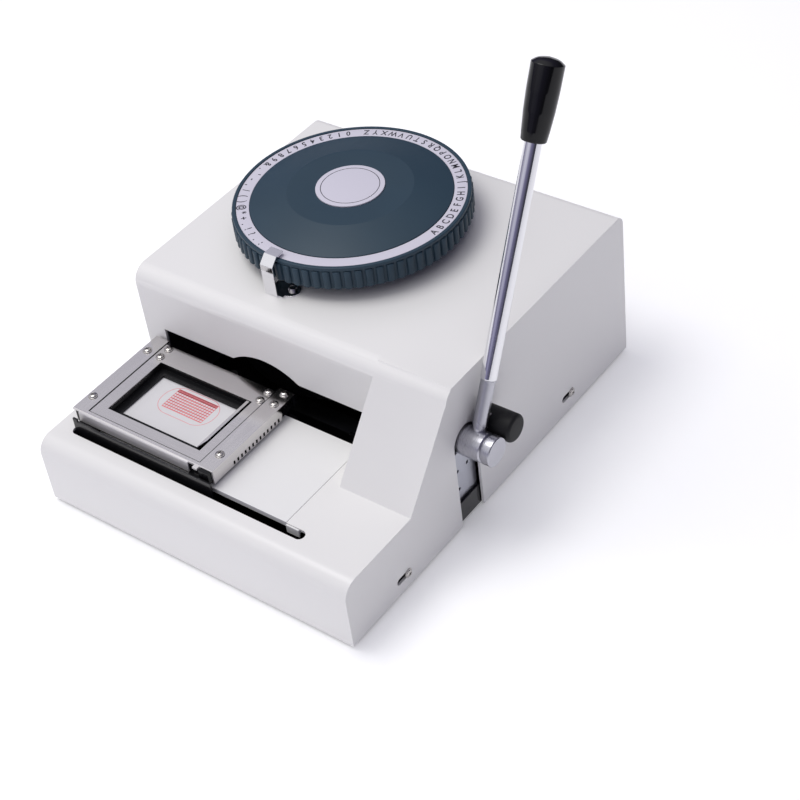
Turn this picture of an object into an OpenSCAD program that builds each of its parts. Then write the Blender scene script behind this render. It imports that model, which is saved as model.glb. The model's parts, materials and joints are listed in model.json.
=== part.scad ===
// Hand-lever embossing machine for plastic cards and metal tags.
// A letter dial turns a pair of type wheels; a side lever closes two rocker
// arms on the chosen punch and die; the card rides on an X-Y carriage.
// Origin: middle of the footprint, on the table. +X right, +Y back, +Z up.

/* [Cover] */
// Width of the cover, left to right
cover_w = 267; // [264:1:272]
// Depth of the cover, front to back
cover_d = 334; // [332:1:340]
// Height of the rubber feet below the cover's edge
foot_gap = 3; // [2.5:0.5:4]
// Height of the low front deck above the cover's lower edge
deck_h = 53; // [53:0.5:54]
// Height of the rear body above the cover's lower edge
body_h = 121; // [121:1:126]
// Distance from the front edge to the face of the rear body
body_setback = 118.4; // [118:0.2:119]
// Thickness of the pressed sheet
sheet = 2; // [1.5:0.1:2]
// Radius of the long bends at the deck's front and the body's front
bend_r = 12; // [8:1:14]
// Radius of the bend at the back of the top
rear_bend_r = 8; // [4:1:12]

/* [Cheek] */
// Left side of the sloping cheek
cheek_x = 76; // [76:1:78]
// Distance from the front edge to the foot of the slope
cheek_foot = 70.9; // [68:0.5:72]
// Distance from the front edge to the head of the slope
cheek_head = 125.9; // [124:0.5:128]

/* [Letter dial] */
// Dial axis, left-right
dial_x = -23.9; // [-24.2:0.1:-23.6]
// Dial axis, front-back
dial_y = 67.2; // [67:0.1:67.5]
// Outer radius over the ribs
dial_r = 84.8; // [84:0.2:85]
// Number of grip ribs around the rim
rib_count = 72; // [60:12:84]
// Height of the label ring's face above the table
ring_z = 151.8; // [151.8:0.2:153]
// Inner radius of the label ring
ring_in_r = 71.6; // [70:0.2:72]
// Outer radius of the label ring
ring_out_r = 81.1; // [80:0.1:81.5]
// Radius of the raised plateau
plateau_r = 44.6; // [40:0.2:50]
// Radius of the centre cap
cap_r = 24.5; // [22:0.5:28]

/* [Lever] */
// Height of the lever shaft above the table
shaft_z = 73.5; // [73:0.25:74]
// Lever shaft, front-back
shaft_y = -32.5; // [-33:0.25:-32]
// Lean of the resting lever behind the vertical
lever_lean = 25.4; // [24:0.1:27]
// Distance from the shaft axis to the top of the grip
lever_len = 253.6; // [230:0.2:265]
// Length of the grip
grip_len = 52.1; // [45:0.1:58]
// Left-right place of the lever
lever_x = 142.1; // [141.5:0.1:143]

/* [Type wheels] */
// Outer radius of the type wheels
wheel_r = 97; // [95:0.5:97]
// Radius of the circle of punches
punch_ring_r = 92; // [90:0.5:92]
// Number of characters
type_count = 72; // [60:12:72]

/* [Carriage] */
// Length of the card window, left to right
window_w = 84; // [84:0.5:86]
// Depth of the card window, front to back
window_d = 55.1; // [54:0.1:56]
// Height of the carriage's top plate above the table
rail_top = 69; // [68.5:0.25:69.5]
// Number of line slots in the side flange
line_slots = 13; // [10:1:13]
// Pitch of the line slots
line_pitch = 3.9; // [3.5:0.1:3.9]

/* [Hidden] */
$fn = 64;
eps = 0.01;

front_y = -cover_d / 2;
rear_y = cover_d / 2;
side_x = cover_w / 2;
deck_z = foot_gap + deck_h;
top_z = foot_gap + body_h;
wall_y = front_y + body_setback;
cheek_foot_y = front_y + cheek_foot;
cheek_head_y = front_y + cheek_head;

// cover openings
slot_x0 = -120;
slot_x1 = 84;
slot_y0 = -147.7;
slot_y1 = -139.5;
deck_cut_x0 = -118;
deck_cut_x1 = 66;
gap_y0 = -59.5;
throat_x0 = -115;
throat_x1 = 72;
throat_top = 77.5;
arch_x = -21.5;
arch_r = 49;
arch_top = 87;
cut_r = 12.6;
cut_y = -32.2;
cut_z = 73;
side_screws = [[-106, 14.7], [92, 17.3]];
side_slot_len = 9;

// base pan
pan_z0 = 3.6;
pan_z1 = 5.6;
pan_x = 130.8;
pan_y = 164.3;
pan_wall = 1.6;
pan_top = 20;
foot_r = 11;
foot_x = 112;
foot_y = 145;

// inner frame
frame_t = 3;
right_plate_x = 116;
apron_x = 125.5;
apron_y0 = -62;
apron_y1 = -18.5;
apron_top = 61.5;
left_plate_x = -128.5;
inner_plate_x = 80;
inner_plate_t = 4;
bridge_z = 112;
bush_r = 11;
shaft_r = 8;
run_gap = 0.05;

// type head
punch_z0 = 74;
punch_z1 = 86;
die_z0 = 46;
die_z1 = 57;
axle_r = 10;
index_r = 38;
bearing_r = 21;
strike_y = dial_y - punch_ring_r;
// wheel: hub radius, web, rim depth
hub_r = 20;
rim_in_r = wheel_r - 11;
web_t = 4;

// press arms
arm_y0 = -35;
arm_y1 = -21;
arm_pivot_x = 45;
upper_pivot_z = 102;
lower_pivot_z = 29;
cam_r = 14.2;
cam_throw = 2.4;
roller_r = 7;
roller_rise = 21.5;
upper_cam_x = 90;
lower_cam_x = 104;
cam_t = 6;
roller_pin_r = 2.5;
pivot_pin_r = 4;

// carriage
rod_y_front = -142.2;
rod_y_rear = -54;
rod_z = 34;
rod_r = 4;
block_x = [-100, -10];
block_w = 16;
plate_t = 1.5;
plate_z = rail_top - plate_t;
left_rail_x0 = -123.5;
left_rail_x1 = -111.5;
right_rail_x0 = -9.3;
right_rail_x1 = 4;
frame_y0 = -137.5;
frame_y1 = -134.4;
table_x0 = -112;
table_x1 = -12;
table_y0 = -134;
table_y1 = -54;
window_x1 = -17;
window_x0 = window_x1 - window_w;
window_y0 = -125.8;
window_y1 = window_y0 + window_d;
body_z0 = 56.8;
skirt_y0 = -144;
skirt_y1 = -142.4;
tray_z0 = 59.2;
tray_floor = 60.7;
ledge = 4;
rim = 5.9;
rim_z0 = 61.9;
rim_z1 = 63.2;
rim_x1 = -22.6;
head_r = 3.4;
head_h = 1.9;
screw_r = 1.5;
rail_screw_at = [
    [-119, -121.6], [-118.3, -65.9], [-2.5, -121.9], [-2.1, -65.3], [-2.6, -53.4]
];
plate_screw_at = [[-105.2, -66.6], [-105.4, -57.6], [-13.2, -66.9], [-13.2, -57.6]];
release_x = -2;
release_z = 61.4;
release_r = 1.8;

// bumper
bumper_y = -12.2;
bumper_z = 78.3;
// pointer
pointer_x0 = -33.2;
pointer_x1 = -22.6;

// ---------- helpers ----------

// Extrudes a (Y, Z) outline along X
module along_x(x0, x1) {
    translate([x0, 0, 0])
        rotate([90, 0, 90])
            linear_extrude(x1 - x0) children();
}

// Extrudes an (X, Z) outline along Y
module along_y(y0, y1) {
    translate([0, y1, 0])
        rotate([90, 0, 0])
            linear_extrude(y1 - y0) children();
}

// Box from its two corners
module block(low, high) {
    translate(low) cube(high - low);
}

// Cylinder along X from x0 to x1
module rod_x(x0, x1, y, z, r) {
    translate([x0, y, z])
        rotate([0, 90, 0])
            cylinder(h = x1 - x0, r = r);
}

// Cylinder along Y from y0 to y1
module rod_y(y0, y1, x, z, r) {
    translate([x, y1, z])
        rotate([90, 0, 0])
            cylinder(h = y1 - y0, r = r);
}

// Cylinder along Z from z0 to z1
module rod_z(z0, z1, x, y, r) {
    translate([x, y, z0]) cylinder(h = z1 - z0, r = r);
}

// Rectangle whose upper corners are bent to radii ra and rb
module bent_panel(a0, a1, b0, b1, ra, rb) {
    difference() {
        translate([a0, b0]) square([a1 - a0, b1 - b0]);
        translate([a0 - 1, b1 - ra]) square([ra + 1, ra + 1]);
        translate([a1 - rb, b1 - rb]) square([rb + 1, rb + 1]);
    }
    translate([a0 + ra, b1 - ra]) circle(ra);
    translate([a1 - rb, b1 - rb]) circle(rb);
}

// Long hole between two points on one level
module stadium(x0, x1, y, r) {
    translate([x0, y]) circle(r);
    translate([x1, y]) circle(r);
    translate([x0, y - r]) square([x1 - x0, 2 * r]);
}

// Clearance holes through the rails or the card plate
module screw_holes(places) {
    for (p = places)
        rod_z(rail_top - 6.5, rail_top + 1, p[0], p[1], screw_r);
}

// Pan-head screw standing on z, head up
module screw_up(x, y, z, head_r, head_h, shank_r, shank_h) {
    translate([x, y, z])
        rotate_extrude()
            polygon([
                [0, -shank_h], [shank_r, -shank_h], [shank_r, 0], [head_r, 0],
                [head_r, head_h * 0.45], [head_r * 0.8, head_h * 0.85],
                [head_r * 0.45, head_h], [0, head_h]
            ]);
}

// ---------- housing ----------

module cover_profile(inset) {
    low = foot_gap - (inset > 0 ? 5 : 0);
    bent_panel(front_y + inset, 0, low, deck_z - inset, bend_r - inset, eps);
    bent_panel(wall_y + inset, rear_y - inset, low, top_z - inset,
               bend_r - inset, rear_bend_r - inset);
}

// Sloping cheek between the deck and the rear body
module cheek_profile(inset) {
    run = (cheek_head_y - cheek_foot_y) / (top_z - deck_z);
    shift = inset * sqrt(1 + run * run);
    low = deck_z - inset - 1;
    high = top_z - inset;
    back = wall_y + 20;
    polygon([
        [cheek_foot_y + shift + run * (low - deck_z), low],
        [cheek_foot_y + shift + run * (high - deck_z), high],
        [back, high],
        [back, low]
    ]);
}

module cover_openings() {
    // front slot for the carriage skirt
    translate([0, 0, deck_z - sheet - 1])
        linear_extrude(sheet + 2)
            stadium(slot_x0 + 4.1, slot_x1 - 4.1, (slot_y0 + slot_y1) / 2, 4.1);
    // seat of the deck plate, gap behind it and throat in the wall
    block([deck_cut_x0, slot_y1 - 2, deck_z - sheet - 1],
          [deck_cut_x1, wall_y + sheet + 1, deck_z + 1]);
    block([deck_cut_x1 - 1, gap_y0, deck_z - sheet - 1],
          [throat_x1, wall_y + sheet + 1, deck_z + 1]);
    block([throat_x0, wall_y - 1, deck_z - sheet - 1],
          [throat_x1, wall_y + sheet + 1, throat_top]);
    intersection() {
        rod_y(wall_y - 1, wall_y + sheet + 1, arch_x, arch_top - arch_r, arch_r);
        block([arch_x - arch_r, wall_y - 2, deck_z],
              [arch_x + arch_r, wall_y + sheet + 2, top_z]);
    }
    // opening around the lever hub, open at the lower edge
    along_x(side_x - sheet - 1, side_x + 1) {
        translate([cut_y, cut_z]) circle(cut_r);
        translate([cut_y - cut_r, 0]) square([2 * cut_r, cut_z]);
    }
    // dial shaft
    rod_z(top_z - sheet - 1, top_z + 1, dial_x, dial_y, 25);
    // pointer screw and bumper bolt
    rod_z(top_z - sheet - 1, top_z + 1, -17.7, -12.3, 1.7);
    rod_x(side_x - sheet - 1, side_x + 1, bumper_y, bumper_z, 4);
    // long holes for the side screws
    for (s = [-1, 1])
        for (p = side_screws)
            translate([s * (side_x - sheet / 2) - 3, 0, 0])
                rotate([90, 0, 90])
                    linear_extrude(6)
                        stadium(p[0] - side_slot_len, p[0], p[1], 2.75);
}

module cover_shell() {
    color("whitesmoke")
    difference() {
        union() {
            along_x(-side_x, side_x) cover_profile(0);
            along_x(cheek_x, side_x) cheek_profile(0);
        }
        along_x(-side_x + sheet, side_x - sheet) cover_profile(sheet);
        along_x(cheek_x + sheet, side_x - sheet) cheek_profile(sheet);
        cover_openings();
    }
}

module deck_plate() {
    color("gainsboro") {
        block([deck_cut_x0 + 0.4, -139.2, deck_z - sheet],
              [deck_cut_x1 - 0.4, gap_y0, deck_z]);
        block([deck_cut_x0 - 6, -139.2, deck_z - sheet - 2],
              [77, gap_y0, deck_z - sheet]);
        block([66.5, -141, deck_z - sheet - 2], [77, -139.2, deck_z - sheet]);
        block([66.5, -141, deck_z - sheet - 5], [77, -139.7, deck_z - sheet + 1.6]);
    }
}

module base_pan() {
    color([0.06, 0.06, 0.07])
    difference() {
        block([-pan_x, -pan_y, pan_z0], [pan_x, pan_y, pan_top]);
        block([-pan_x + pan_wall, -pan_y + pan_wall, pan_z1],
              [pan_x - pan_wall, pan_y - pan_wall, pan_top + 1]);
        for (p = side_screws)
            rod_x(-pan_x - 1, pan_x + 1, p[0], p[1], 2);
    }
}

// Four corner feet and one pad under the press
module rubber_feet() {
    color([0.08, 0.08, 0.08])
    for (p = [[-1, -1], [-1, 1], [1, -1], [1, 1], [0, 0]])
        translate([p[0] * foot_x, p[1] * foot_y, 0])
            cylinder(h = pan_z0, r1 = foot_r - 1, r2 = foot_r);
}

module cover_screws() {
    color("silver")
    for (s = [-1, 1])
        for (p = side_screws)
            translate([s * side_x, p[0], p[1]])
                rotate([0, s * 90, 0])
                    screw_up(0, 0, 0, 3.5, 1.8, 2, 4.5);
}

module side_plate_right() {
    color("darkgray")
    difference() {
        union() {
            along_x(right_plate_x, right_plate_x + frame_t)
                polygon([
                    [-150, pan_z1], [150, pan_z1], [150, bridge_z], [-45, bridge_z],
                    [-60, 90], [-84, 56], [-84, 52], [-150, 52]
                ]);
            block([right_plate_x - 12, -150, pan_z1],
                  [right_plate_x, 150, pan_z1 + 2.5]);
            // apron that closes the lever opening below the hub
            block([apron_x, apron_y0, pan_z1], [apron_x + frame_t, apron_y1, apron_top]);
            block([right_plate_x, apron_y0, pan_z1],
                  [apron_x + frame_t, apron_y0 + frame_t, apron_top]);
        }
        rod_x(right_plate_x - 1, right_plate_x + frame_t + 1, shaft_y, shaft_z, bush_r);
        rod_x(right_plate_x - 1, right_plate_x + frame_t + 1, bumper_y, bumper_z, 3.5);
        for (p = [[-38, 46], [-27, 46], [-38, 30]])
            rod_x(apron_x - 1, apron_x + frame_t + 1, p[0], p[1], 1.3);
        for (p = [[40, 60], [105, 60]])
            rod_x(right_plate_x - 1, right_plate_x + frame_t + 1, p[0], p[1], 16);
    }
}

module side_plate_left() {
    color("darkgray")
    difference() {
        union() {
            along_x(left_plate_x, left_plate_x + frame_t)
                polygon([
                    [-150, pan_z1], [150, pan_z1], [150, bridge_z],
                    [-45, bridge_z], [-45, 52], [-150, 52]
                ]);
            block([left_plate_x + frame_t, 20, pan_z1],
                  [left_plate_x + frame_t + 12, 150, pan_z1 + 2.5]);
        }
        for (p = [[0, 62], [105, 62]])
            rod_x(left_plate_x - 1, left_plate_x + frame_t + 1, p[0], p[1], 16);
    }
}

module inner_bearing_plate() {
    color("darkgray")
    difference() {
        union() {
            block([inner_plate_x, -46.5, pan_z1],
                  [inner_plate_x + inner_plate_t, 12, 93]);
            block([inner_plate_x + inner_plate_t, -46.5, pan_z1],
                  [inner_plate_x + 16, 12, pan_z1 + 2.5]);
        }
        rod_x(inner_plate_x - 1, inner_plate_x + inner_plate_t + 1,
              shaft_y, shaft_z, bush_r);
        block([inner_plate_x - 1, -40, 17],
              [inner_plate_x + inner_plate_t + 1, -16, 43]);
    }
}

module top_bridge() {
    color("dimgray")
    difference() {
        union() {
            block([left_plate_x, -44, bridge_z],
                  [right_plate_x + frame_t, 118, bridge_z + 3]);
            rod_z(104, bridge_z + eps, dial_x, dial_y, 27);
        }
        rod_z(103, bridge_z + 4, dial_x, dial_y, bearing_r);
    }
}

module shaft_bushes() {
    color("peru")
    for (x = [inner_plate_x, right_plate_x])
        difference() {
            union() {
                rod_x(x, x + 4, shaft_y, shaft_z, bush_r);
                rod_x(x - 1.5, x, shaft_y, shaft_z, bush_r + 1.5);
            }
            rod_x(x - 3, x + 6, shaft_y, shaft_z, shaft_r + run_gap);
        }
}

module dial_bearings() {
    color("silver")
    for (z = [12, 104])
        difference() {
            rod_z(z, z + 12, dial_x, dial_y, bearing_r);
            rod_z(z - 1, z + 13, dial_x, dial_y, axle_r + run_gap);
        }
}

module bearing_block() {
    color("dimgray")
    difference() {
        rod_z(pan_z1, 26, dial_x, dial_y, 30);
        rod_z(12, 27, dial_x, dial_y, bearing_r);
    }
}

module pivot_brackets() {
    color("dimgray") {
        for (y = [-39, -20])
            difference() {
                block([37, y, 92], [53, y + 3, bridge_z]);
                rod_y(y - 1, y + 4, arm_pivot_x, upper_pivot_z, pivot_pin_r);
            }
        difference() {
            union() {
                for (y = [-39, -20])
                    block([37, y, pan_z1], [53, y + 3, 38]);
                block([37, -39, pan_z1], [53, -17, 10]);
            }
            rod_y(-40, -16, arm_pivot_x, lower_pivot_z, pivot_pin_r);
        }
    }
}

module pivot_pins() {
    color("silver")
    for (z = [upper_pivot_z, lower_pivot_z])
        rod_y(-41, -15, arm_pivot_x, z, pivot_pin_r);
}

// Posts that carry the feed pawl and the dial's detent arm
module pivot_posts() {
    color("silver") {
        rod_z(pan_z1, 53, -62, -41, 3);
        rod_z(90, bridge_z, 27.5, 74.6, 3);
    }
}

module guide_rods() {
    color("silver")
    for (y = [rod_y_front, rod_y_rear])
        rod_x(-125, 101, y, rod_z, rod_r);
}

module rod_brackets() {
    color("dimgray")
    for (y = [rod_y_front, rod_y_rear])
        for (x = [-124, 98])
            difference() {
                block([x, y - 7, pan_z1], [x + 3, y + 7, rod_z + 8]);
                rod_x(x - 1, x + 4, y, rod_z, rod_r);
            }
}

module pointer_bracket() {
    color("gainsboro")
    difference() {
        union() {
            along_x(pointer_x0, pointer_x1)
                polygon([
                    [-22.0, top_z], [-23.2, top_z], [-23.2, 148.8],
                    [-17.3, 154.5], [-9.5, 154.5], [-9.5, 153.3],
                    [-16.8, 153.3], [-22.0, 148.3]
                ]);
            block([pointer_x0, -22.4, top_z], [-18.5, -6, top_z + 1.2]);
            rod_z(top_z, top_z + 1.2, -18.5, -13, 7);
        }
        rod_z(top_z - 1, top_z + 3, -17.7, -12.3, 1.7);
    }
}

module lever_bumper() {
    color([0.08, 0.08, 0.09])
    translate([side_x, bumper_y, bumper_z])
        rotate([0, 90, 0])
            rotate_extrude()
                polygon([
                    [3.5, 0], [10, 0], [10, 25], [9.4, 26.4], [8.0, 27],
                    [0, 27], [0, 18], [3.5, 18]
                ]);
}

// Bolt through the bumper, small screw beside it and the pointer's screw
module trim_screws() {
    color("silver") {
        rod_x(113, side_x + 18, bumper_y, bumper_z, 3.5);
        rod_x(110, 116, bumper_y, bumper_z, 6);
        screw_up(-17.7, -12.3, top_z + 1.2, 3, 2.4, 1.7, 5);
    }
}

// ---------- type head ----------

module dial_ribs_outline() {
    core_r = 83.4;
    step = 360 / rib_count;
    polygon([
        for (i = [0 : rib_count - 1])
            for (k = [[0.0, core_r], [0.18, dial_r], [0.5, dial_r], [0.68, core_r]])
                [k[1] * cos((i + k[0]) * step), k[1] * sin((i + k[0]) * step)]
    ]);
}

module dial_disc() {
    color([0.22, 0.33, 0.39])
    translate([dial_x, dial_y, 0]) {
        rotate_extrude($fn = 144)
            polygon([
                [axle_r, 126], [20, 126], [20, 148], [43, 152.5], [68, 147.5],
                [80, 145], [80, 134], [83.0, 134], [83.6, 135], [83.6, 151.0],
                [83.1, 151.5], [ring_out_r + 0.1, 151.5], [ring_out_r + 0.1, 151],
                [ring_in_r - 0.1, 151], [ring_in_r - 0.1, 151.6],
                [plateau_r, 158.2], [0, 158.2], [0, 149], [axle_r, 149]
            ]);
        difference() {
            translate([0, 0, 135]) linear_extrude(13.4) dial_ribs_outline();
            translate([0, 0, 134]) cylinder(h = 16, r = 83.2, $fn = 144);
        }
    }
}

module label_ring() {
    color([0.82, 0.81, 0.85])
    translate([dial_x, dial_y, ring_z - 0.8])
        difference() {
            cylinder(h = 0.8, r = ring_out_r, $fn = 144);
            translate([0, 0, -1]) cylinder(h = 3, r = ring_in_r, $fn = 144);
        }
}

module dial_cap() {
    color([0.82, 0.81, 0.85])
    translate([dial_x, dial_y, 158.2])
        rotate_extrude($fn = 96)
            polygon([
                [0, 0], [cap_r, 0], [cap_r, 0.5], [cap_r - 0.4, 0.9],
                [21.2, 0.9], [21.2, 0.6], [20.4, 0.6], [20.4, 0.9], [0, 0.9]
            ]);
}

module dial_shaft() {
    color("silver")
    rod_z(12.5, 149, dial_x, dial_y, axle_r);
}

// Wheel with a hub, a web and a drilled rim
module drilled_wheel(z0, z1, hub_low, hub_high) {
    mid = (z0 + z1) / 2;
    translate([dial_x, dial_y, 0])
        difference() {
            rotate_extrude($fn = 144)
                polygon([
                    [axle_r, hub_low], [hub_r, hub_low], [hub_r, mid - web_t / 2],
                    [rim_in_r, mid - web_t / 2], [rim_in_r, z0], [wheel_r, z0],
                    [wheel_r, z1], [rim_in_r, z1], [rim_in_r, mid + web_t / 2],
                    [hub_r, mid + web_t / 2], [hub_r, hub_high], [axle_r, hub_high]
                ]);
            for (i = [0 : type_count - 1])
                rotate([0, 0, i * 360 / type_count])
                    translate([punch_ring_r, 0, z0 - 1])
                        cylinder(h = z1 - z0 + 2, r = 2, $fn = 16);
            for (i = [0 : 5])
                rotate([0, 0, i * 60 + 30])
                    translate([54, 0, z0 - 1])
                        cylinder(h = z1 - z0 + 2, r = 16);
        }
}

module type_wheel() {
    color("lightsteelblue")
    drilled_wheel(punch_z0, punch_z1, punch_z0, 90);
}

module die_wheel() {
    color("lightsteelblue")
    drilled_wheel(die_z0, die_z1, 44, die_z1);
}

module index_wheel() {
    color("silver")
    translate([dial_x, dial_y, 0])
        difference() {
            rotate_extrude($fn = 144)
                polygon([
                    [axle_r, 90], [18, 90], [18, 92], [index_r, 92],
                    [index_r, 96], [18, 96], [18, 98], [axle_r, 98]
                ]);
            for (i = [0 : type_count - 1])
                rotate([0, 0, (i + 0.5) * 360 / type_count])
                    translate([index_r + 0.3, 0, 91])
                        cylinder(h = 6, r = 1.1, $fn = 16);
        }
}

module shaft_collars() {
    color("darkgray")
    translate([dial_x, dial_y, 0])
        for (c = [[38, 44, 17], [die_z1, punch_z0, 16], [98, 103.4, 17]])
            difference() {
                rod_z(c[0], c[1], 0, 0, c[2]);
                rod_z(c[0] - 1, c[1] + 1, 0, 0, axle_r);
            }
}

// Ring of headed pins: the shank stands in the wheel, the head on its face
module pin_ring(shank_low, shank_high, head_low, head_high) {
    translate([dial_x, dial_y, 0])
        for (i = [0 : type_count - 1])
            rotate([0, 0, i * 360 / type_count])
                translate([punch_ring_r, 0, 0]) {
                    rod_z(shank_low, shank_high, 0, 0, 1.95, $fn = 16);
                    rod_z(head_low, head_high, 0, 0, 3, $fn = 16);
                }
}

module type_punches() {
    color("dimgray")
    pin_ring(punch_z0 + 0.4, 87, punch_z1, 89);
}

module type_dies() {
    color("dimgray")
    pin_ring(45, die_z1 - 0.4, 43, die_z0);
}

// ---------- lever ----------

module main_shaft() {
    color("silver")
    rod_x(66, 151, shaft_y, shaft_z, shaft_r);
}

module lever_hub() {
    color("darkgray")
    translate([0, shaft_y, shaft_z])
        difference() {
            rotate([0, 90, 0])
                rotate_extrude()
                    polygon([
                        [shaft_r, 122.5], [10.5, 122.5], [10.5, 150],
                        [9.4, 151.2], [shaft_r, 151.2]
                    ]);
            rotate([-lever_lean, 0, 0])
                translate([lever_x, 0, 0]) cylinder(h = 20, r = 4);
        }
}

module hub_cap() {
    color("darkgray")
    translate([0, shaft_y, shaft_z])
        rotate([0, 90, 0])
            rotate_extrude()
                polygon([
                    [0, 151.2], [9.4, 151.2], [9.4, 151.9], [10.5, 152.8],
                    [10.5, 157.6], [9.9, 158.5], [0, 158.5]
                ]);
}

// Places a shape made along +Z on the leaning lever line
module on_lever() {
    translate([lever_x, shaft_y, shaft_z])
        rotate([-lever_lean, 0, 0]) children();
}

module lever_stud() {
    color("silver")
    on_lever() {
        translate([0, 0, 8.6]) cylinder(h = 10, r = 4);
        translate([0, 0, 11.2]) cylinder(h = 34.8, r = 5);
    }
}

module lever_rod() {
    color("gainsboro")
    on_lever() {
        translate([0, 0, 46]) cylinder(h = lever_len - grip_len - 46, r = 5.6);
        translate([0, 0, lever_len - grip_len]) cylinder(h = 28, r = 4);
    }
}

module lever_grip() {
    base = lever_len - grip_len;
    color([0.05, 0.05, 0.06])
    on_lever()
        rotate_extrude($fn = 96)
            polygon([
                [4, base], [7.8, base], [8.2, base + 0.5], [9.1, base + 8],
                [9.8, base + 16], [10.3, base + 24], [10.5, base + 32],
                [10.6, lever_len - 4.2], [10.3, lever_len - 3.6],
                [8.4, lever_len - 2], [5.8, lever_len - 0.8],
                [3, lever_len - 0.2], [0, lever_len],
                [0, base + 29], [4, base + 29]
            ]);
}

// Round eccentric on the lever shaft, thrown along dir in Y
module eccentric(x0, dir) {
    difference() {
        rod_x(x0, x0 + cam_t, shaft_y + dir * cam_throw, shaft_z, cam_r);
        rod_x(x0 - 1, x0 + cam_t + 1, shaft_y, shaft_z, shaft_r);
    }
}

module upper_cam() {
    color("lightsteelblue")
    eccentric(upper_cam_x, 1);
}

module lower_cam() {
    color("lightsteelblue")
    eccentric(lower_cam_x, -1);
}

// Torsion spring wound around the inner end of the lever shaft
module lever_spring() {
    turns = 5;
    per_turn = 15;
    sides = 8;
    wire_r = 0.9;
    coil_r = 9.6;
    x0 = 66.4;
    pitch = 2.0;
    rings = turns * per_turn + 1;
    points = [
        for (i = [0 : rings - 1])
            let (a = i * 360 / per_turn)
                for (k = [0 : sides - 1])
                    let (b = k * 360 / sides, r = coil_r + wire_r * cos(b))
                        [x0 + wire_r + pitch * i / per_turn + wire_r * sin(b),
                         r * cos(a), r * sin(a)]
    ];
    faces = concat(
        [[for (k = [0 : sides - 1]) k]],
        [[for (k = [sides - 1 : -1 : 0]) (rings - 1) * sides + k]],
        [for (i = [0 : rings - 2])
            for (k = [0 : sides - 1])
                [i * sides + k, (i + 1) * sides + k,
                 (i + 1) * sides + (k + 1) % sides, i * sides + (k + 1) % sides]]
    );
    color("gray")
    translate([0, shaft_y, shaft_z])
        polyhedron(points = points, faces = faces);
}

// ---------- press arms ----------

// Forked rocker arm. dir = 1 for the arm above the wheels, -1 for the one below
module press_arm(pivot_z, cam_x, dir, roller_z) {
    z0 = pivot_z - 5;
    fork_x0 = cam_x - 3.5;
    fork_x1 = cam_x + cam_t + 3.5;
    difference() {
        union() {
            along_y(arm_y0, arm_y1) {
                translate([dial_x - 2, z0]) square([fork_x1 - dial_x + 2, 10]);
                translate([dial_x - 2, pivot_z]) circle(5);
                translate([arm_pivot_x, pivot_z]) circle(9);
            }
            // fork that carries the roller under or over the shaft cam
            block([fork_x0, -38, min(pivot_z - 5 * dir, roller_z - 4 * dir)],
                  [fork_x1, -27, max(pivot_z + 5 * dir, roller_z + 4)]);
            rod_z(dir > 0 ? z0 - 3.8 : pivot_z, dir > 0 ? pivot_z : pivot_z + 9.5,
                  dial_x, strike_y, 4);
        }
        // pivot bore
        rod_y(arm_y0 - 5, arm_y1 + 5, arm_pivot_x, pivot_z, pivot_pin_r + run_gap);
        // room for the cam and the roller between the cheeks
        block([cam_x - 0.5, -50, min(roller_z - 8.5, roller_z + dir * -30)],
              [cam_x + cam_t + 0.5, -10, max(roller_z + 8.5, roller_z + dir * -30)]);
        rod_x(fork_x0 - 1, fork_x1 + 1, shaft_y, roller_z, roller_pin_r);
    }
}

upper_roller_z = shaft_z + roller_rise;
lower_roller_z = shaft_z - roller_rise;

module upper_press_arm() {
    color("slategray")
    press_arm(upper_pivot_z, upper_cam_x, 1, upper_roller_z);
}

module lower_press_arm() {
    color("slategray")
    press_arm(lower_pivot_z, lower_cam_x, -1, lower_roller_z);
}

module cam_roller(cam_x, z) {
    difference() {
        rod_x(cam_x, cam_x + cam_t, shaft_y, z, roller_r);
        rod_x(cam_x - 1, cam_x + cam_t + 1, shaft_y, z, roller_pin_r + run_gap);
    }
}

module upper_roller() {
    color("silver")
    cam_roller(upper_cam_x, upper_roller_z);
}

module lower_roller() {
    color("silver")
    cam_roller(lower_cam_x, lower_roller_z);
}

module upper_roller_pin() {
    color("gray")
    rod_x(upper_cam_x - 3.5, upper_cam_x + cam_t + 3.5, shaft_y, upper_roller_z,
          roller_pin_r);
}

module lower_roller_pin() {
    color("gray")
    rod_x(lower_cam_x - 3.5, lower_cam_x + cam_t + 3.5, shaft_y, lower_roller_z,
          roller_pin_r);
}

// ---------- carriage ----------

module carriage_body() {
    color([0.09, 0.09, 0.10])
    difference() {
        union() {
            block([-122.5, -136.6, body_z0], [-112.6, -50.5, plate_z]);
            block([-11.4, -136.6, body_z0], [1.2, -50.5, plate_z]);
            // front bar behind the lip, and the feet that carry the skirt
            block([-100.5, -137.2, body_z0 + 0.4], [1.2, -135.6, 66]);
            block([-118, skirt_y1, body_z0 + 0.4], [-100.5, -135.6, 59.9]);
            block([-17, skirt_y1, body_z0 + 0.4], [-7.8, -135.6, 59.9]);
            block([-122.5, -55.5, body_z0], [1.2, -52.5, 58.8]);
        }
        // grooves for the tray's tongues
        block([-115, -134.6, 61.8], [-112, -50, 64.2]);
        block([-12, -134.6, 61.8], [-9, -50, 64.2]);
        // pocket and bore of the release bar
        block([-7.6, -142, 56], [4, -137.6, 70]);
        rod_y(-138, -117.5, release_x, release_z, release_r + run_gap);
        screw_holes(rail_screw_at);
    }
}

// Black front plate that runs in the deck slot
module carriage_skirt() {
    color([0.10, 0.10, 0.11])
    along_y(skirt_y0, skirt_y1)
        difference() {
            translate([-118.5, 42]) square([125, 24.6]);
            translate([-98.5, 63.4]) square([93.5, 10]);
            translate([-98.5, 69.4]) circle(6);
            translate([-104.5, 69.4]) square([20, 10], center = true);
            translate([-5.2, 64.4]) square([12, 10]);
        }
}

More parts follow.
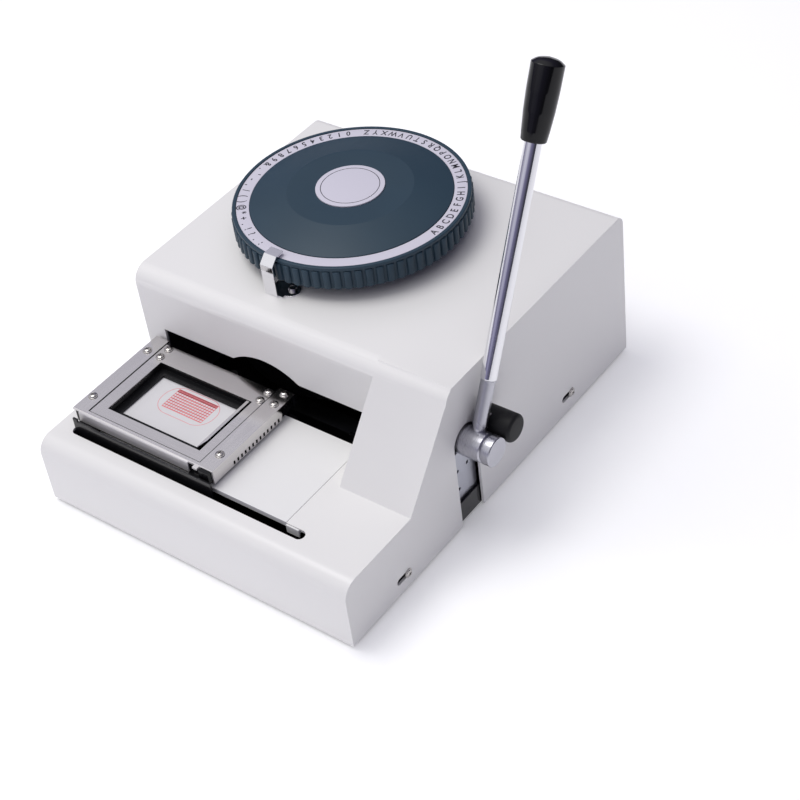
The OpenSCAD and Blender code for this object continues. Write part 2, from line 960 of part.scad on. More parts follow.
// One folded sheet: left rail, front lip, right rail with its slotted flange
module carriage_top_plate() {
    color("lightgray")
    difference() {
        union() {
            block([left_rail_x0, frame_y0, plate_z], [left_rail_x1, -50, rail_top]);
            block([left_rail_x0, frame_y0, plate_z], [right_rail_x1, frame_y1, rail_top]);
            block([right_rail_x0, frame_y0, plate_z], [right_rail_x1, -49.8, rail_top]);
            // flange with a pointed rear end
            along_x(right_rail_x1 - 1.2, right_rail_x1)
                polygon([
                    [frame_y0, 58.2], [-66.5, 58.2], [-65, 65.6], [-49.8, rail_top - 1],
                    [-49.8, rail_top], [frame_y0, rail_top]
                ]);
            // folded lip along the front
            along_x(-117.4, -17)
                polygon([
                    [-137, rail_top], [-138, 68.7], [-138.5, 67.8], [-138.9, 60.4],
                    [-137.8, 60.4], [-137.6, 67.4], [-137, 67.5]
                ]);
            // short flat tongue beside the thumb tab
            block([-11.2, -140.4, plate_z], [-7.2, frame_y0 + 1, rail_top]);
        }
        screw_holes(rail_screw_at);
        for (i = [0 : line_slots - 1])
            block([right_rail_x1 - 3, -117.4 + i * line_pitch, 58.9],
                  [right_rail_x1 + 1, -115.7 + i * line_pitch, 62]);
    }
}

module rail_screws() {
    color("silver")
    for (p = rail_screw_at)
        screw_up(p[0], p[1], rail_top, head_r, head_h, screw_r, 4.5);
}

// Bearing blocks on both guide rods and the bracket behind the deck plate
module carriage_blocks() {
    color([0.12, 0.12, 0.13])
    difference() {
        union() {
            for (x = block_x) {
                block([x - block_w / 2, rod_y_front - 8, rod_z - 8],
                      [x + block_w / 2, rod_y_front + 8, 42]);
                block([x - block_w / 2, rod_y_rear - 8, rod_z - 8],
                      [x + block_w / 2, rod_y_rear + 8, 42]);
            }
            block([-108, -55.2, 40], [-2, -52.8, body_z0]);
        }
        for (y = [rod_y_front, rod_y_rear])
            rod_x(-120, 20, y, rod_z, 6.5);
    }
}

module linear_bushes() {
    color("peru")
    for (x = block_x)
        for (y = [rod_y_front, rod_y_rear])
            difference() {
                rod_x(x - block_w / 2, x + block_w / 2, y, rod_z, 6.5);
                rod_x(x - block_w, x + block_w, y, rod_z, rod_r + run_gap);
            }
}

module feed_rack() {
    teeth = 36;
    pitch = 2.8;
    x0 = -106;
    color("silver")
    translate([0, 0, 46])
        linear_extrude(6)
            polygon(concat(
                [[x0 + teeth * pitch, -52.8], [x0, -52.8]],
                [for (i = [0 : teeth - 1])
                    for (k = [[0, -50], [0.35, -48]])
                        [x0 + i * pitch + k[0], k[1]]],
                [[x0 + teeth * pitch, -50]]
            ));
}

// ---------- card table ----------

module card_plate() {
    color("lightgray")
    difference() {
        block([-110.3, table_y0, plate_z], [right_rail_x0 - 0.5, table_y1, rail_top]);
        block([window_x0, window_y0, plate_z - 1], [window_x1, window_y1, rail_top + 1]);
        screw_holes(plate_screw_at);
    }
}

module card_tray() {
    color([0.07, 0.07, 0.08])
    difference() {
        union() {
            block([table_x0, table_y0, tray_z0], [table_x1, table_y1 - 0.5, plate_z]);
            block([table_x0 - 2.2, table_y0, 62], [table_x1 + 2.2, table_y1 - 0.5, 64]);
        }
        // card pocket, the opening in the rim over it and the window above
        block([window_x0, window_y0, tray_floor], [window_x1, window_y1, rim_z0]);
        block([window_x0 + rim, window_y0 + rim, tray_floor],
              [window_x1, window_y1 - rim, plate_z + 1]);
        block([rim_x1, window_y0, tray_floor], [window_x1, window_y1, plate_z + 1]);
        block([window_x0, window_y0, rim_z1], [window_x1, window_y1, plate_z + 1]);
        // open window inside the ledge that carries the card
        block([window_x0 + ledge, window_y0 + ledge, tray_z0 - 1],
              [window_x1 - ledge, window_y1 - ledge, tray_floor + 1]);
        screw_holes(plate_screw_at);
    }
}

// Card-size guide sheet lying on the ledge
module guide_card() {
    color("gainsboro")
    block([window_x0 + 0.4, window_y0 + 0.4, tray_floor],
          [window_x1 - 4.6, window_y1 - 0.4, tray_floor + 0.8]);
}

module plate_screws() {
    color("silver")
    for (p = plate_screw_at)
        screw_up(p[0], p[1], rail_top, head_r, head_h, screw_r, 4.5);
}

module card_clip() {
    color("gainsboro")
    translate([0, 0, tray_floor + 0.3])
        linear_extrude(8.4)
            polygon([
                [-21, -124.5], [-20.4, -124.5], [-18.6, -116], [-18.6, -71.6],
                [-21, -71.6]
            ]);
}

// Thumb tab on a short bar that turns in the right rail
module release_bar() {
    color([0.07, 0.07, 0.08])
    union() {
        block([-5.4, -141, 60], [3, -138, 69.3]);
        rod_y(-138.1, -118, release_x, release_z, release_r);
    }
}

module feed_pawl() {
    color("slategray")
    difference() {
        translate([0, 0, 46.5])
            linear_extrude(5)
                difference() {
                    union() {
                        translate([-62, -41]) circle(5);
                        polygon([
                            [-62, -36], [-80, -44.6], [-80.4, -47.2], [-77, -46.6],
                            [-62, -46]
                        ]);
                    }
                    translate([-62, -41]) circle(3 + run_gap);
                }
    }
}

module detent_arm() {
    reach = 31.1;
    color("slategray")
    translate([27.5, 74.6, 91.5])
        rotate([0, 0, 135])
            difference() {
                union() {
                    cylinder(h = 5, r = 5.5);
                    translate([reach, 0, 0]) cylinder(h = 5, r = 3);
                    block([0, -2, 0.4], [reach, 2, 4.6]);
                }
                translate([0, 0, -1]) cylinder(h = 7, r = 3 + run_gap);
            }
}

cover_shell();
deck_plate();
base_pan();
rubber_feet();
cover_screws();
side_plate_right();
side_plate_left();
inner_bearing_plate();
top_bridge();
shaft_bushes();
dial_bearings();
bearing_block();
pivot_brackets();
pivot_pins();
pivot_posts();
guide_rods();
rod_brackets();
pointer_bracket();
lever_bumper();
trim_screws();
dial_disc();
label_ring();
dial_cap();
dial_shaft();
type_wheel();
die_wheel();
index_wheel();
shaft_collars();
type_punches();
type_dies();
main_shaft();
lever_hub();
hub_cap();
lever_stud();
lever_rod();
lever_grip();
upper_cam();
lower_cam();
lever_spring();
upper_press_arm();
upper_roller();
upper_roller_pin();
lower_press_arm();
lower_roller();
lower_roller_pin();
carriage_body();
carriage_skirt();
carriage_top_plate();
rail_screws();
carriage_blocks();
linear_bushes();
feed_rack();
card_plate();
card_tray();
guide_card();
plate_screws();
card_clip();
release_bar();
feed_pawl();
detent_arm();
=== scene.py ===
"""Visible pieces, finishes and stage of a hand-lever card embossing machine."""

import json
import math

import bmesh
import bpy
from bpy.props import (
    FloatProperty,
    FloatVectorProperty,
    IntProperty,
    PointerProperty,
)
from mathutils import Matrix, Vector


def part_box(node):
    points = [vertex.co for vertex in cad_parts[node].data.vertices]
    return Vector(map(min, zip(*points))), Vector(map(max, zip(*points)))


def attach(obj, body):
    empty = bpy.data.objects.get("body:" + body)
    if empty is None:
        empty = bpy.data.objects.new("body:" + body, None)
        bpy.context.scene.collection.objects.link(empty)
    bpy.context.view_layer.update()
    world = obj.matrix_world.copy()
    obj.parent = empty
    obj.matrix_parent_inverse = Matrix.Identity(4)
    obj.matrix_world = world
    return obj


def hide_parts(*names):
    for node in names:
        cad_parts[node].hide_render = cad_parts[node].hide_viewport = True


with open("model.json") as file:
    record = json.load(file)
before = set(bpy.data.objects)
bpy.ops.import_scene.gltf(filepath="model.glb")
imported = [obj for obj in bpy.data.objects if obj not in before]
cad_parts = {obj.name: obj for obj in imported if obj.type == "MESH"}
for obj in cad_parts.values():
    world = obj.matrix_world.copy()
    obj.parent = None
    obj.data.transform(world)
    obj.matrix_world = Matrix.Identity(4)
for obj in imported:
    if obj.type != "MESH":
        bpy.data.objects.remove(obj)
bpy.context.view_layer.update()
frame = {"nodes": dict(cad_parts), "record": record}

bl_info = {
    "name": "Card Embossing Machine",
    "version": (1, 0, 0),
    "blender": (4, 5, 0),
    "location": "View3D > Sidebar > Embosser",
    "description": "Builds the pieces and finishes of a hand-lever card embossing machine",
    "category": "Object",
}

NODES = frame["nodes"]
MM = 0.001
FULL_TURN = math.tau

# dial axis, shaft and lever line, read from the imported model
DIAL_LOW, DIAL_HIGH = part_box("label_ring")
DIAL_CENTRE = Vector(
    ((DIAL_LOW.x + DIAL_HIGH.x) / 2, (DIAL_LOW.y + DIAL_HIGH.y) / 2, 0.0)
)
# the printed band lies this far below the top of the label ring
RING_SUNK = 0.0006
RING_TOP = DIAL_HIGH.z - RING_SUNK
SHAFT_LOW, SHAFT_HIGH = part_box("main_shaft")
SHAFT_Y = (SHAFT_LOW.y + SHAFT_HIGH.y) / 2
SHAFT_Z = (SHAFT_LOW.z + SHAFT_HIGH.z) / 2
ROD_LOW, ROD_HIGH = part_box("lever_rod")
LEVER_X = (ROD_LOW.x + ROD_HIGH.x) / 2
LEVER_LEAN = math.radians(25.4)

# the folded front lip of the carriage sheet lies in front of this plane
LIP_EDGE_Y = -0.1364
LIP_FADE = 0.0006

# where screws stand, in metres, and how large their heads are
RAIL_SCREWS = (
    (-0.119, -0.1216), (-0.1183, -0.0659), (-0.0025, -0.1219), (-0.0021, -0.0653),
    (-0.0026, -0.0534),
)
PLATE_SCREWS = (
    (-0.1052, -0.0666), (-0.1054, -0.0576), (-0.0132, -0.0669), (-0.0132, -0.0576),
)
SIDE_SCREWS = ((-0.106, 0.0147), (0.092, 0.0173))
POINTER_SCREW = (-0.0177, -0.0123)
POINTER_SHEET = 0.0012
TOP_HEAD = (0.0034, 0.0019)
SIDE_HEAD = (0.0035, 0.0017)
POINTER_HEAD = (0.0030, 0.0024)

# where the lights stand and the half width of the floor
KEY_PLACE = (-0.42, -0.16, 1.5)
FILL_PLACE = (-0.25, -1.6, 0.7)
FLOOR_HALF_WIDTH = 40.0


# ---------------------------------------------------------------- properties


class PaintSettings(bpy.types.PropertyGroup):
    """Colours of the painted and moulded pieces"""

    cover: FloatVectorProperty(
        name="Cover", description="Powder coat of the cover", subtype="COLOR",
        default=(0.80, 0.79, 0.775), min=0.0, max=1.0,
    )
    deck: FloatVectorProperty(
        name="Deck plate", description="White sheet beside the carriage",
        subtype="COLOR", default=(0.80, 0.795, 0.785), min=0.0, max=1.0,
    )
    dial: FloatVectorProperty(
        name="Dial", description="Moulded dial and its ribs", subtype="COLOR",
        default=(0.022, 0.048, 0.072), min=0.0, max=1.0,
    )
    label: FloatVectorProperty(
        name="Label", description="Printed ring and cap of the dial",
        subtype="COLOR", default=(0.62, 0.60, 0.68), min=0.0, max=1.0,
    )
    print_red: FloatVectorProperty(
        name="Guide print", description="Print on the guide card",
        subtype="COLOR", default=(0.78, 0.20, 0.22), min=0.0, max=1.0,
    )


class MetalSettings(bpy.types.PropertyGroup):
    """Finish of the bare metal pieces"""

    stainless_roughness: FloatProperty(
        name="Stainless roughness", description="Roughness of the carriage sheets",
        default=0.11, min=0.0, max=1.0, subtype="FACTOR",
    )
    chrome_roughness: FloatProperty(
        name="Chrome roughness", description="Roughness of the lever and pointer",
        default=0.06, min=0.0, max=1.0, subtype="FACTOR",
    )


class DialSettings(bpy.types.PropertyGroup):
    """Sizes of the dial's visible features"""

    rib_count: IntProperty(
        name="Ribs", description="Number of grip ribs", default=72, min=12, max=120
    )
    rib_core: FloatProperty(
        name="Rib foot radius", description="Radius the ribs stand on",
        default=0.0826, unit="LENGTH",
    )
    rib_reach: FloatProperty(
        name="Rib radius", description="Radius over the ribs",
        default=0.0848, unit="LENGTH",
    )
    letter_height: FloatProperty(
        name="Letter height", description="Height of the ring's capitals",
        default=0.0053, unit="LENGTH",
    )
    letter_radius: FloatProperty(
        name="Letter radius", description="Radius of the letters' middle",
        default=0.0765, unit="LENGTH",
    )


class StageSettings(bpy.types.PropertyGroup):
    """Camera and lights"""

    yaw: FloatProperty(
        name="Yaw", description="Turn of the camera round the machine",
        subtype="ANGLE", default=math.radians(41.481),
    )
    pitch: FloatProperty(
        name="Pitch", description="Tilt of the camera below the horizon",
        subtype="ANGLE", default=math.radians(41.578),
    )
    roll: FloatProperty(
        name="Roll", description="Roll of the camera", subtype="ANGLE",
        default=math.radians(8.014),
    )
    place: FloatVectorProperty(
        name="Place", description="Where the camera stands", unit="LENGTH",
        default=(0.6751, -0.7030, 0.8789),
    )
    lens: FloatProperty(
        name="Lens", description="Focal length on a 36 mm sensor",
        unit="CAMERA", default=81.755,
    )
    key_power: FloatProperty(
        name="Key light", description="Power of the large overhead light",
        default=8.6, min=0.0,
    )
    fill_power: FloatProperty(
        name="Fill light", description="Power of the front fill light",
        default=0.5, min=0.0,
    )
    sky: FloatProperty(
        name="Surround", description="Strength of the soft dome",
        default=1.0, min=0.0,
    )


# ---------------------------------------------------------------- node tools


def add_node(tree, kind, at, inputs=None, **settings):
    """Adds one node, sets its properties, and sets or links its inputs."""
    made = tree.nodes.new(kind)
    made.location = (at[0] * 190, at[1] * -210)
    for key, value in settings.items():
        setattr(made, key, value)
    for key, value in (inputs or {}).items():
        socket = made.inputs[key]
        if isinstance(value, bpy.types.NodeSocket):
            tree.links.new(value, socket)
        else:
            socket.default_value = value
    return made


def new_group(name, inputs, outputs):
    """An empty shader group with named sockets, with its two end nodes."""
    tree = bpy.data.node_groups.new(name, "ShaderNodeTree")
    for label, kind, value in inputs:
        socket = tree.interface.new_socket(label, in_out="INPUT", socket_type=kind)
        if value is not None:
            socket.default_value = value
    for label, kind in outputs:
        tree.interface.new_socket(label, in_out="OUTPUT", socket_type=kind)
    start = add_node(tree, "NodeGroupInput", (-5, 0))
    end = add_node(tree, "NodeGroupOutput", (5, 0))
    return tree, start.outputs, end.inputs


def mottle_group():
    """Slow drift and fine grit, for paint, plastic and rubber."""
    tree, given, out = new_group(
        "Mottle",
        [
            ("Vector", "NodeSocketVector", None),
            ("Drift scale", "NodeSocketFloat", 14.0),
            ("Grit scale", "NodeSocketFloat", 900.0),
        ],
        [
            ("Drift", "NodeSocketFloat"),
            ("Grit", "NodeSocketFloat"),
            ("Smudge", "NodeSocketFloat"),
        ],
    )
    drift = add_node(
        tree, "ShaderNodeTexNoise", (-3, -1),
        {"Vector": given["Vector"], "Scale": given["Drift scale"], "Detail": 2.0,
         "Roughness": 0.55},
    )
    grit = add_node(
        tree, "ShaderNodeTexNoise", (-3, 1),
        {"Vector": given["Vector"], "Scale": given["Grit scale"], "Detail": 3.0,
         "Roughness": 0.6},
    )
    wide = add_node(
        tree, "ShaderNodeTexNoise", (-3, 2),
        {"Vector": given["Vector"], "Scale": 38.0, "Detail": 5.0, "Roughness": 0.7,
         "Distortion": 0.6},
    )
    cut = add_node(
        tree, "ShaderNodeMapRange", (-1, 2),
        {"Value": wide.outputs["Fac"], "From Min": 0.52, "From Max": 0.75},
    )
    tree.links.new(drift.outputs["Fac"], out["Drift"])
    tree.links.new(grit.outputs["Fac"], out["Grit"])
    tree.links.new(cut.outputs["Result"], out["Smudge"])
    return tree


def brushed_group():
    """Long fine lines along one direction, for brushed sheet."""
    tree, given, out = new_group(
        "Brushed lines",
        [
            ("Vector", "NodeSocketVector", None),
            ("Stretch", "NodeSocketVector", (40.0, 2600.0, 2600.0)),
        ],
        [("Lines", "NodeSocketFloat"), ("Patches", "NodeSocketFloat")],
    )
    stretched = add_node(
        tree, "ShaderNodeVectorMath", (-3, 0),
        {0: given["Vector"], 1: given["Stretch"]}, operation="MULTIPLY",
    )
    lines = add_node(
        tree, "ShaderNodeTexNoise", (-1, -1),
        {"Vector": stretched.outputs["Vector"], "Scale": 1.0, "Detail": 4.0,
         "Roughness": 0.65},
    )
    patches = add_node(
        tree, "ShaderNodeTexNoise", (-1, 1),
        {"Vector": given["Vector"], "Scale": 30.0, "Detail": 3.0},
    )
    tree.links.new(lines.outputs["Fac"], out["Lines"])
    tree.links.new(patches.outputs["Fac"], out["Patches"])
    return tree


def turned_group():
    """Lathe rings: lines that change with distance along and from an X axis."""
    tree, given, out = new_group(
        "Turned rings",
        [
            ("Vector", "NodeSocketVector", None),
            ("Fineness", "NodeSocketFloat", 2600.0),
        ],
        [("Rings", "NodeSocketFloat")],
    )
    parts = add_node(
        tree, "ShaderNodeSeparateXYZ", (-4, 0), {"Vector": given["Vector"]}
    )
    flat = add_node(
        tree, "ShaderNodeCombineXYZ", (-3, 1),
        {"X": parts.outputs["Y"], "Y": parts.outputs["Z"]},
    )
    radius = add_node(
        tree, "ShaderNodeVectorMath", (-2, 1), {0: flat.outputs["Vector"]},
        operation="LENGTH",
    )
    both = add_node(
        tree, "ShaderNodeMath", (-1, 0),
        {0: parts.outputs["X"], 1: radius.outputs["Value"]}, operation="ADD",
    )
    scaled = add_node(
        tree, "ShaderNodeMath", (0, 0),
        {0: both.outputs["Value"], 1: given["Fineness"]}, operation="MULTIPLY",
    )
    rings = add_node(
        tree, "ShaderNodeTexNoise", (1, 0),
        {"W": scaled.outputs["Value"], "Scale": 1.0, "Detail": 3.0},
        noise_dimensions="1D",
    )
    tree.links.new(rings.outputs["Fac"], out["Rings"])
    return tree


GROUPS = {}
FINISHES = {}


def group(name, maker):
    """The shared node group of this name, made on first use."""
    if name not in GROUPS:
        GROUPS[name] = maker()
    return GROUPS[name]


def start_material(name, **shader_values):
    """A material with a Principled shader, its object coordinates and its tree."""
    material = bpy.data.materials.new(name)
    material.use_nodes = True
    tree = material.node_tree
    tree.nodes.clear()
    out = add_node(tree, "ShaderNodeOutputMaterial", (6, 0))
    shader = add_node(tree, "ShaderNodeBsdfPrincipled", (4, 0), shader_values)
    tree.links.new(shader.outputs["BSDF"], out.inputs["Surface"])
    place = add_node(tree, "ShaderNodeTexCoord", (-6, 0)).outputs["Object"]
    FINISHES[name] = material
    return material, tree, shader, place


def mix_colours(tree, at, mask, low, high):
    """A colour that runs from low to high with the mask."""
    mixed = add_node(tree, "ShaderNodeMix", at, data_type="RGBA")
    tree.links.new(mask, mixed.inputs["Factor"])
    # the colour sockets are the third pair of a Mix node
    mixed.inputs[6].default_value = (*low, 1.0)
    mixed.inputs[7].default_value = (*high, 1.0)
    return mixed.outputs[2]


def spread(tree, at, value, low, high, from_low=0.3, from_high=0.7):
    """A value stretched from one range to another."""
    made = add_node(
        tree, "ShaderNodeMapRange", at,
        {"Value": value, "From Min": from_low, "From Max": from_high,
         "To Min": low, "To Max": high},
    )
    return made.outputs["Result"]


def shade(colour, factor):
    """A colour made lighter or darker, kept between 0 and 1."""
    return tuple(min(1.0, max(0.0, c * factor)) for c in colour)


def coated(name, colour, rough, drift=14.0, grit=900.0, relief=0.05, tint=0.04,
           rough_spread=0.05, depth=0.00004, **shader_values):
    """Painted, moulded or rubber finish: slow colour drift and fine relief."""
    _, tree, shader, place = start_material(name, **shader_values)
    mottle = add_node(
        tree, "ShaderNodeGroup", (-4, 0), node_tree=group("Mottle", mottle_group)
    )
    tree.links.new(place, mottle.inputs["Vector"])
    mottle.inputs["Drift scale"].default_value = drift
    mottle.inputs["Grit scale"].default_value = grit
    colours = mix_colours(
        tree, (0, -1), mottle.outputs["Drift"],
        shade(colour, 1 - tint), shade(colour, 1 + tint),
    )
    tree.links.new(colours, shader.inputs["Base Color"])
    gloss = spread(
        tree, (0, 0), mottle.outputs["Smudge"], rough, rough + rough_spread, 0.0, 1.0
    )
    tree.links.new(gloss, shader.inputs["Roughness"])
    bump = add_node(
        tree, "ShaderNodeBump", (2, 1),
        {"Height": mottle.outputs["Grit"], "Strength": relief, "Distance": depth},
    )
    tree.links.new(bump.outputs["Normal"], shader.inputs["Normal"])
    return FINISHES[name]


def brushed(name, colour, rough, stretch, relief=0.06, tint=0.10, rough_spread=0.10):
    """Bare sheet with fine parallel lines."""
    _, tree, shader, place = start_material(name, Metallic=1.0)
    lines = add_node(
        tree, "ShaderNodeGroup", (-4, 0),
        node_tree=group("Brushed lines", brushed_group),
    )
    tree.links.new(place, lines.inputs["Vector"])
    lines.inputs["Stretch"].default_value = stretch
    colours = mix_colours(
        tree, (0, -1), lines.outputs["Lines"],
        shade(colour, 1 - tint), shade(colour, 1 + tint),
    )
    tree.links.new(colours, shader.inputs["Base Color"])
    both = add_node(
        tree, "ShaderNodeMath", (-1, 0),
        {0: lines.outputs["Lines"], 1: lines.outputs["Patches"]}, operation="ADD",
    )
    gloss = spread(
        tree, (1, 0), both.outputs["Value"], rough, rough + rough_spread, 0.7, 1.3
    )
    tree.links.new(gloss, shader.inputs["Roughness"])
    bump = add_node(
        tree, "ShaderNodeBump", (2, 1),
        {"Height": lines.outputs["Lines"], "Strength": relief, "Distance": 0.00003},
    )
    tree.links.new(bump.outputs["Normal"], shader.inputs["Normal"])
    return FINISHES[name]


def satin_lip(name, edge, rough, metal):
    """Duller finish on a sheet's front lip, in front of the plane y = edge."""
    tree = FINISHES[name].node_tree
    shader = next(n for n in tree.nodes if n.type == "BSDF_PRINCIPLED")
    place = next(n for n in tree.nodes if n.type == "TEX_COORD").outputs["Object"]
    parts = add_node(tree, "ShaderNodeSeparateXYZ", (-4, 3), {"Vector": place})
    lip = add_node(
        tree, "ShaderNodeMapRange", (-3, 3),
        {"Value": parts.outputs["Y"], "From Min": edge, "From Max": edge - LIP_FADE},
    ).outputs["Result"]
    sheet_gloss = shader.inputs["Roughness"].links[0].from_socket
    # the number sockets are the first pair of a Mix node, after its two factors
    gloss = add_node(tree, "ShaderNodeMix", (2, 3), {0: lip}, data_type="FLOAT")
    tree.links.new(sheet_gloss, gloss.inputs[2])
    gloss.inputs[3].default_value = rough
    tree.links.new(gloss.outputs[0], shader.inputs["Roughness"])
    metallic = spread(tree, (2, 4), lip, 1.0, metal, 0.0, 1.0)
    tree.links.new(metallic, shader.inputs["Metallic"])


def plated(name, colour, rough, relief=0.02):
    """Chrome and polished steel, with faint smudges."""
    _, tree, shader, place = start_material(name, Metallic=1.0)
    mottle = add_node(
        tree, "ShaderNodeGroup", (-4, 0), node_tree=group("Mottle", mottle_group)
    )
    tree.links.new(place, mottle.inputs["Vector"])
    mottle.inputs["Drift scale"].default_value = 60.0
    mottle.inputs["Grit scale"].default_value = 700.0
    colours = mix_colours(
        tree, (0, -1), mottle.outputs["Drift"], shade(colour, 0.95), colour
    )
    tree.links.new(colours, shader.inputs["Base Color"])
    gloss = spread(
        tree, (0, 0), mottle.outputs["Smudge"], rough, rough + 0.07, 0.0, 1.0
    )
    tree.links.new(gloss, shader.inputs["Roughness"])
    bump = add_node(
        tree, "ShaderNodeBump", (2, 1),
        {"Height": mottle.outputs["Drift"], "Strength": relief, "Distance": 0.0002},
    )
    tree.links.new(bump.outputs["Normal"], shader.inputs["Normal"])
    return FINISHES[name]


def turned(name, colour, rough, centre):
    """Satin turned metal: rings round a line along X through centre."""
    _, tree, shader, place = start_material(name, Metallic=1.0)
    moved = add_node(tree, "ShaderNodeMapping", (-5, 0), {"Vector": place})
    moved.inputs["Location"].default_value = (0.0, -centre[0], -centre[1])
    rings = add_node(
        tree, "ShaderNodeGroup", (-4, 0),
        node_tree=group("Turned rings", turned_group),
    )
    tree.links.new(moved.outputs["Vector"], rings.inputs["Vector"])
    colours = mix_colours(
        tree, (0, -1), rings.outputs["Rings"], shade(colour, 0.88), shade(colour, 1.1)
    )
    tree.links.new(colours, shader.inputs["Base Color"])
    gloss = spread(tree, (0, 0), rings.outputs["Rings"], rough, rough + 0.1)
    tree.links.new(gloss, shader.inputs["Roughness"])
    bump = add_node(
        tree, "ShaderNodeBump", (2, 1),
        {"Height": rings.outputs["Rings"], "Strength": 0.12, "Distance": 0.00003},
    )
    tree.links.new(bump.outputs["Normal"], shader.inputs["Normal"])
    return FINISHES[name]


# ---------------------------------------------------------------- mesh tools


def place_piece(name, bm, finish, body, stands_for=(), smooth=38.0):
    """Turns a bmesh into a piece that rides on a body."""
    mesh = bpy.data.meshes.new(name)
    bm.to_mesh(mesh)
    bm.free()
    mesh.shade_smooth()
    mesh.set_sharp_from_angle(angle=math.radians(smooth))
    mesh.materials.append(FINISHES[finish])
    piece = bpy.data.objects.new(name, mesh)
    bpy.context.scene.collection.objects.link(piece)
    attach(piece, body)
    if stands_for:
        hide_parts(*stands_for)
    return piece


def soften(piece, width, segments=2, angle=38.0):
    """Rounds a piece's sharp edges with a live bevel."""
    edge = piece.modifiers.new("Soft edges", "BEVEL")
    edge.width = width
    edge.segments = segments
    edge.limit_method = "ANGLE"
    edge.angle_limit = math.radians(angle)
    edge.profile = 0.5
    edge.use_clamp_overlap = True
    edge.harden_normals = True
    return piece


def merged_copy(node):
    """A bmesh of a CAD node with its loose triangles joined."""
    bm = bmesh.new()
    bm.from_mesh(NODES[node].data)
    bmesh.ops.remove_doubles(bm, verts=bm.verts, dist=2e-6)
    bmesh.ops.dissolve_limit(
        bm, angle_limit=math.radians(0.4), verts=bm.verts, edges=bm.edges
    )
    return bm


def sharpened_copy(node, finish, body, width, segments=2, angle=38.0, name=None):
    """A CAD node's own shape with its sharp edges rounded."""
    piece = place_piece(
        name or node + "_piece", merged_copy(node), finish, body, (node,), angle
    )
    return soften(piece, width, segments, angle)


def spun(profile, steps=96, matrix=None):
    """A closed turned shape from (radius, height) points, round Z."""
    bm = bmesh.new()
    verts = [bm.verts.new((r, 0.0, z)) for r, z in profile]
    edges = [bm.edges.new(pair) for pair in zip(verts, verts[1:])]
    bmesh.ops.spin(
        bm, geom=verts + edges, cent=(0, 0, 0), axis=(0, 0, 1), dvec=(0, 0, 0),
        angle=FULL_TURN, steps=steps, use_merge=True, use_duplicate=False,
    )
    bmesh.ops.remove_doubles(bm, verts=bm.verts, dist=1e-7)
    holes = [e for e in bm.edges if e.is_boundary]
    if holes:
        bmesh.ops.holes_fill(bm, edges=holes, sides=0)
    bmesh.ops.recalc_face_normals(bm, faces=bm.faces)
    if matrix is not None:
        bmesh.ops.transform(bm, matrix=matrix, verts=bm.verts)
    return bm


def rounded(corners, radii, steps=5):
    """A profile whose corners are replaced by arcs of the given radii."""
    points = []
    for i, (corner, radius) in enumerate(zip(corners, radii)):
        if radius <= 0 or i in (0, len(corners) - 1):
            points.append(tuple(corner))
            continue
        here = Vector(corner)
        before = (Vector(corners[i - 1]) - here).normalized()
        after = (Vector(corners[i + 1]) - here).normalized()
        half = before.angle(after) / 2
        reach = radius / math.tan(half)
        centre = here + (before + after).normalized() * radius / math.sin(half)
        start = here + before * reach - centre
        finish = here + after * reach - centre
        for k in range(steps + 1):
            spoke = start.lerp(finish, k / steps).normalized() * radius
            points.append(tuple(centre + spoke))
    return points


def joined(target, source):
    """Adds the geometry of source to target and frees source."""
    mesh = bpy.data.meshes.new("joining")
    source.to_mesh(mesh)
    source.free()
    target.from_mesh(mesh)
    bpy.data.meshes.remove(mesh)


def carved(base, cutter):
    """base with the space of cutter taken out, as a new bmesh."""
    made = []
    for label, bm in (("carve_base", base), ("carve_tool", cutter)):
        mesh = bpy.data.meshes.new(label)
        bm.to_mesh(mesh)
        bm.free()
        thing = bpy.data.objects.new(label, mesh)
        bpy.context.scene.collection.objects.link(thing)
        made.append(thing)
    cut = made[0].modifiers.new("Cut", "BOOLEAN")
    cut.operation = "DIFFERENCE"
    cut.solver = "EXACT"
    cut.object = made[1]
    bpy.context.view_layer.update()
    evaluated = made[0].evaluated_get(bpy.context.evaluated_depsgraph_get())
    bm = bmesh.new()
    bm.from_mesh(evaluated.to_mesh())
    evaluated.to_mesh_clear()
    for thing in made:
        mesh = thing.data
        bpy.data.objects.remove(thing)
        bpy.data.meshes.remove(mesh)
    return bm


def slab(low, high):
    """A box between two corners."""
    bm = bmesh.new()
    bmesh.ops.create_cube(bm, size=1.0)
    low, high = Vector(low), Vector(high)
    size = high - low
    bmesh.ops.scale(bm, vec=size, verts=bm.verts)
    bmesh.ops.translate(bm, vec=(low + high) / 2, verts=bm.verts)
    return bm


def mm_points(points):
    """(radius, height) points given in millimetres, in metres."""
    return [(a * MM, b * MM) for a, b in points]


# ---------------------------------------------------------------- operators


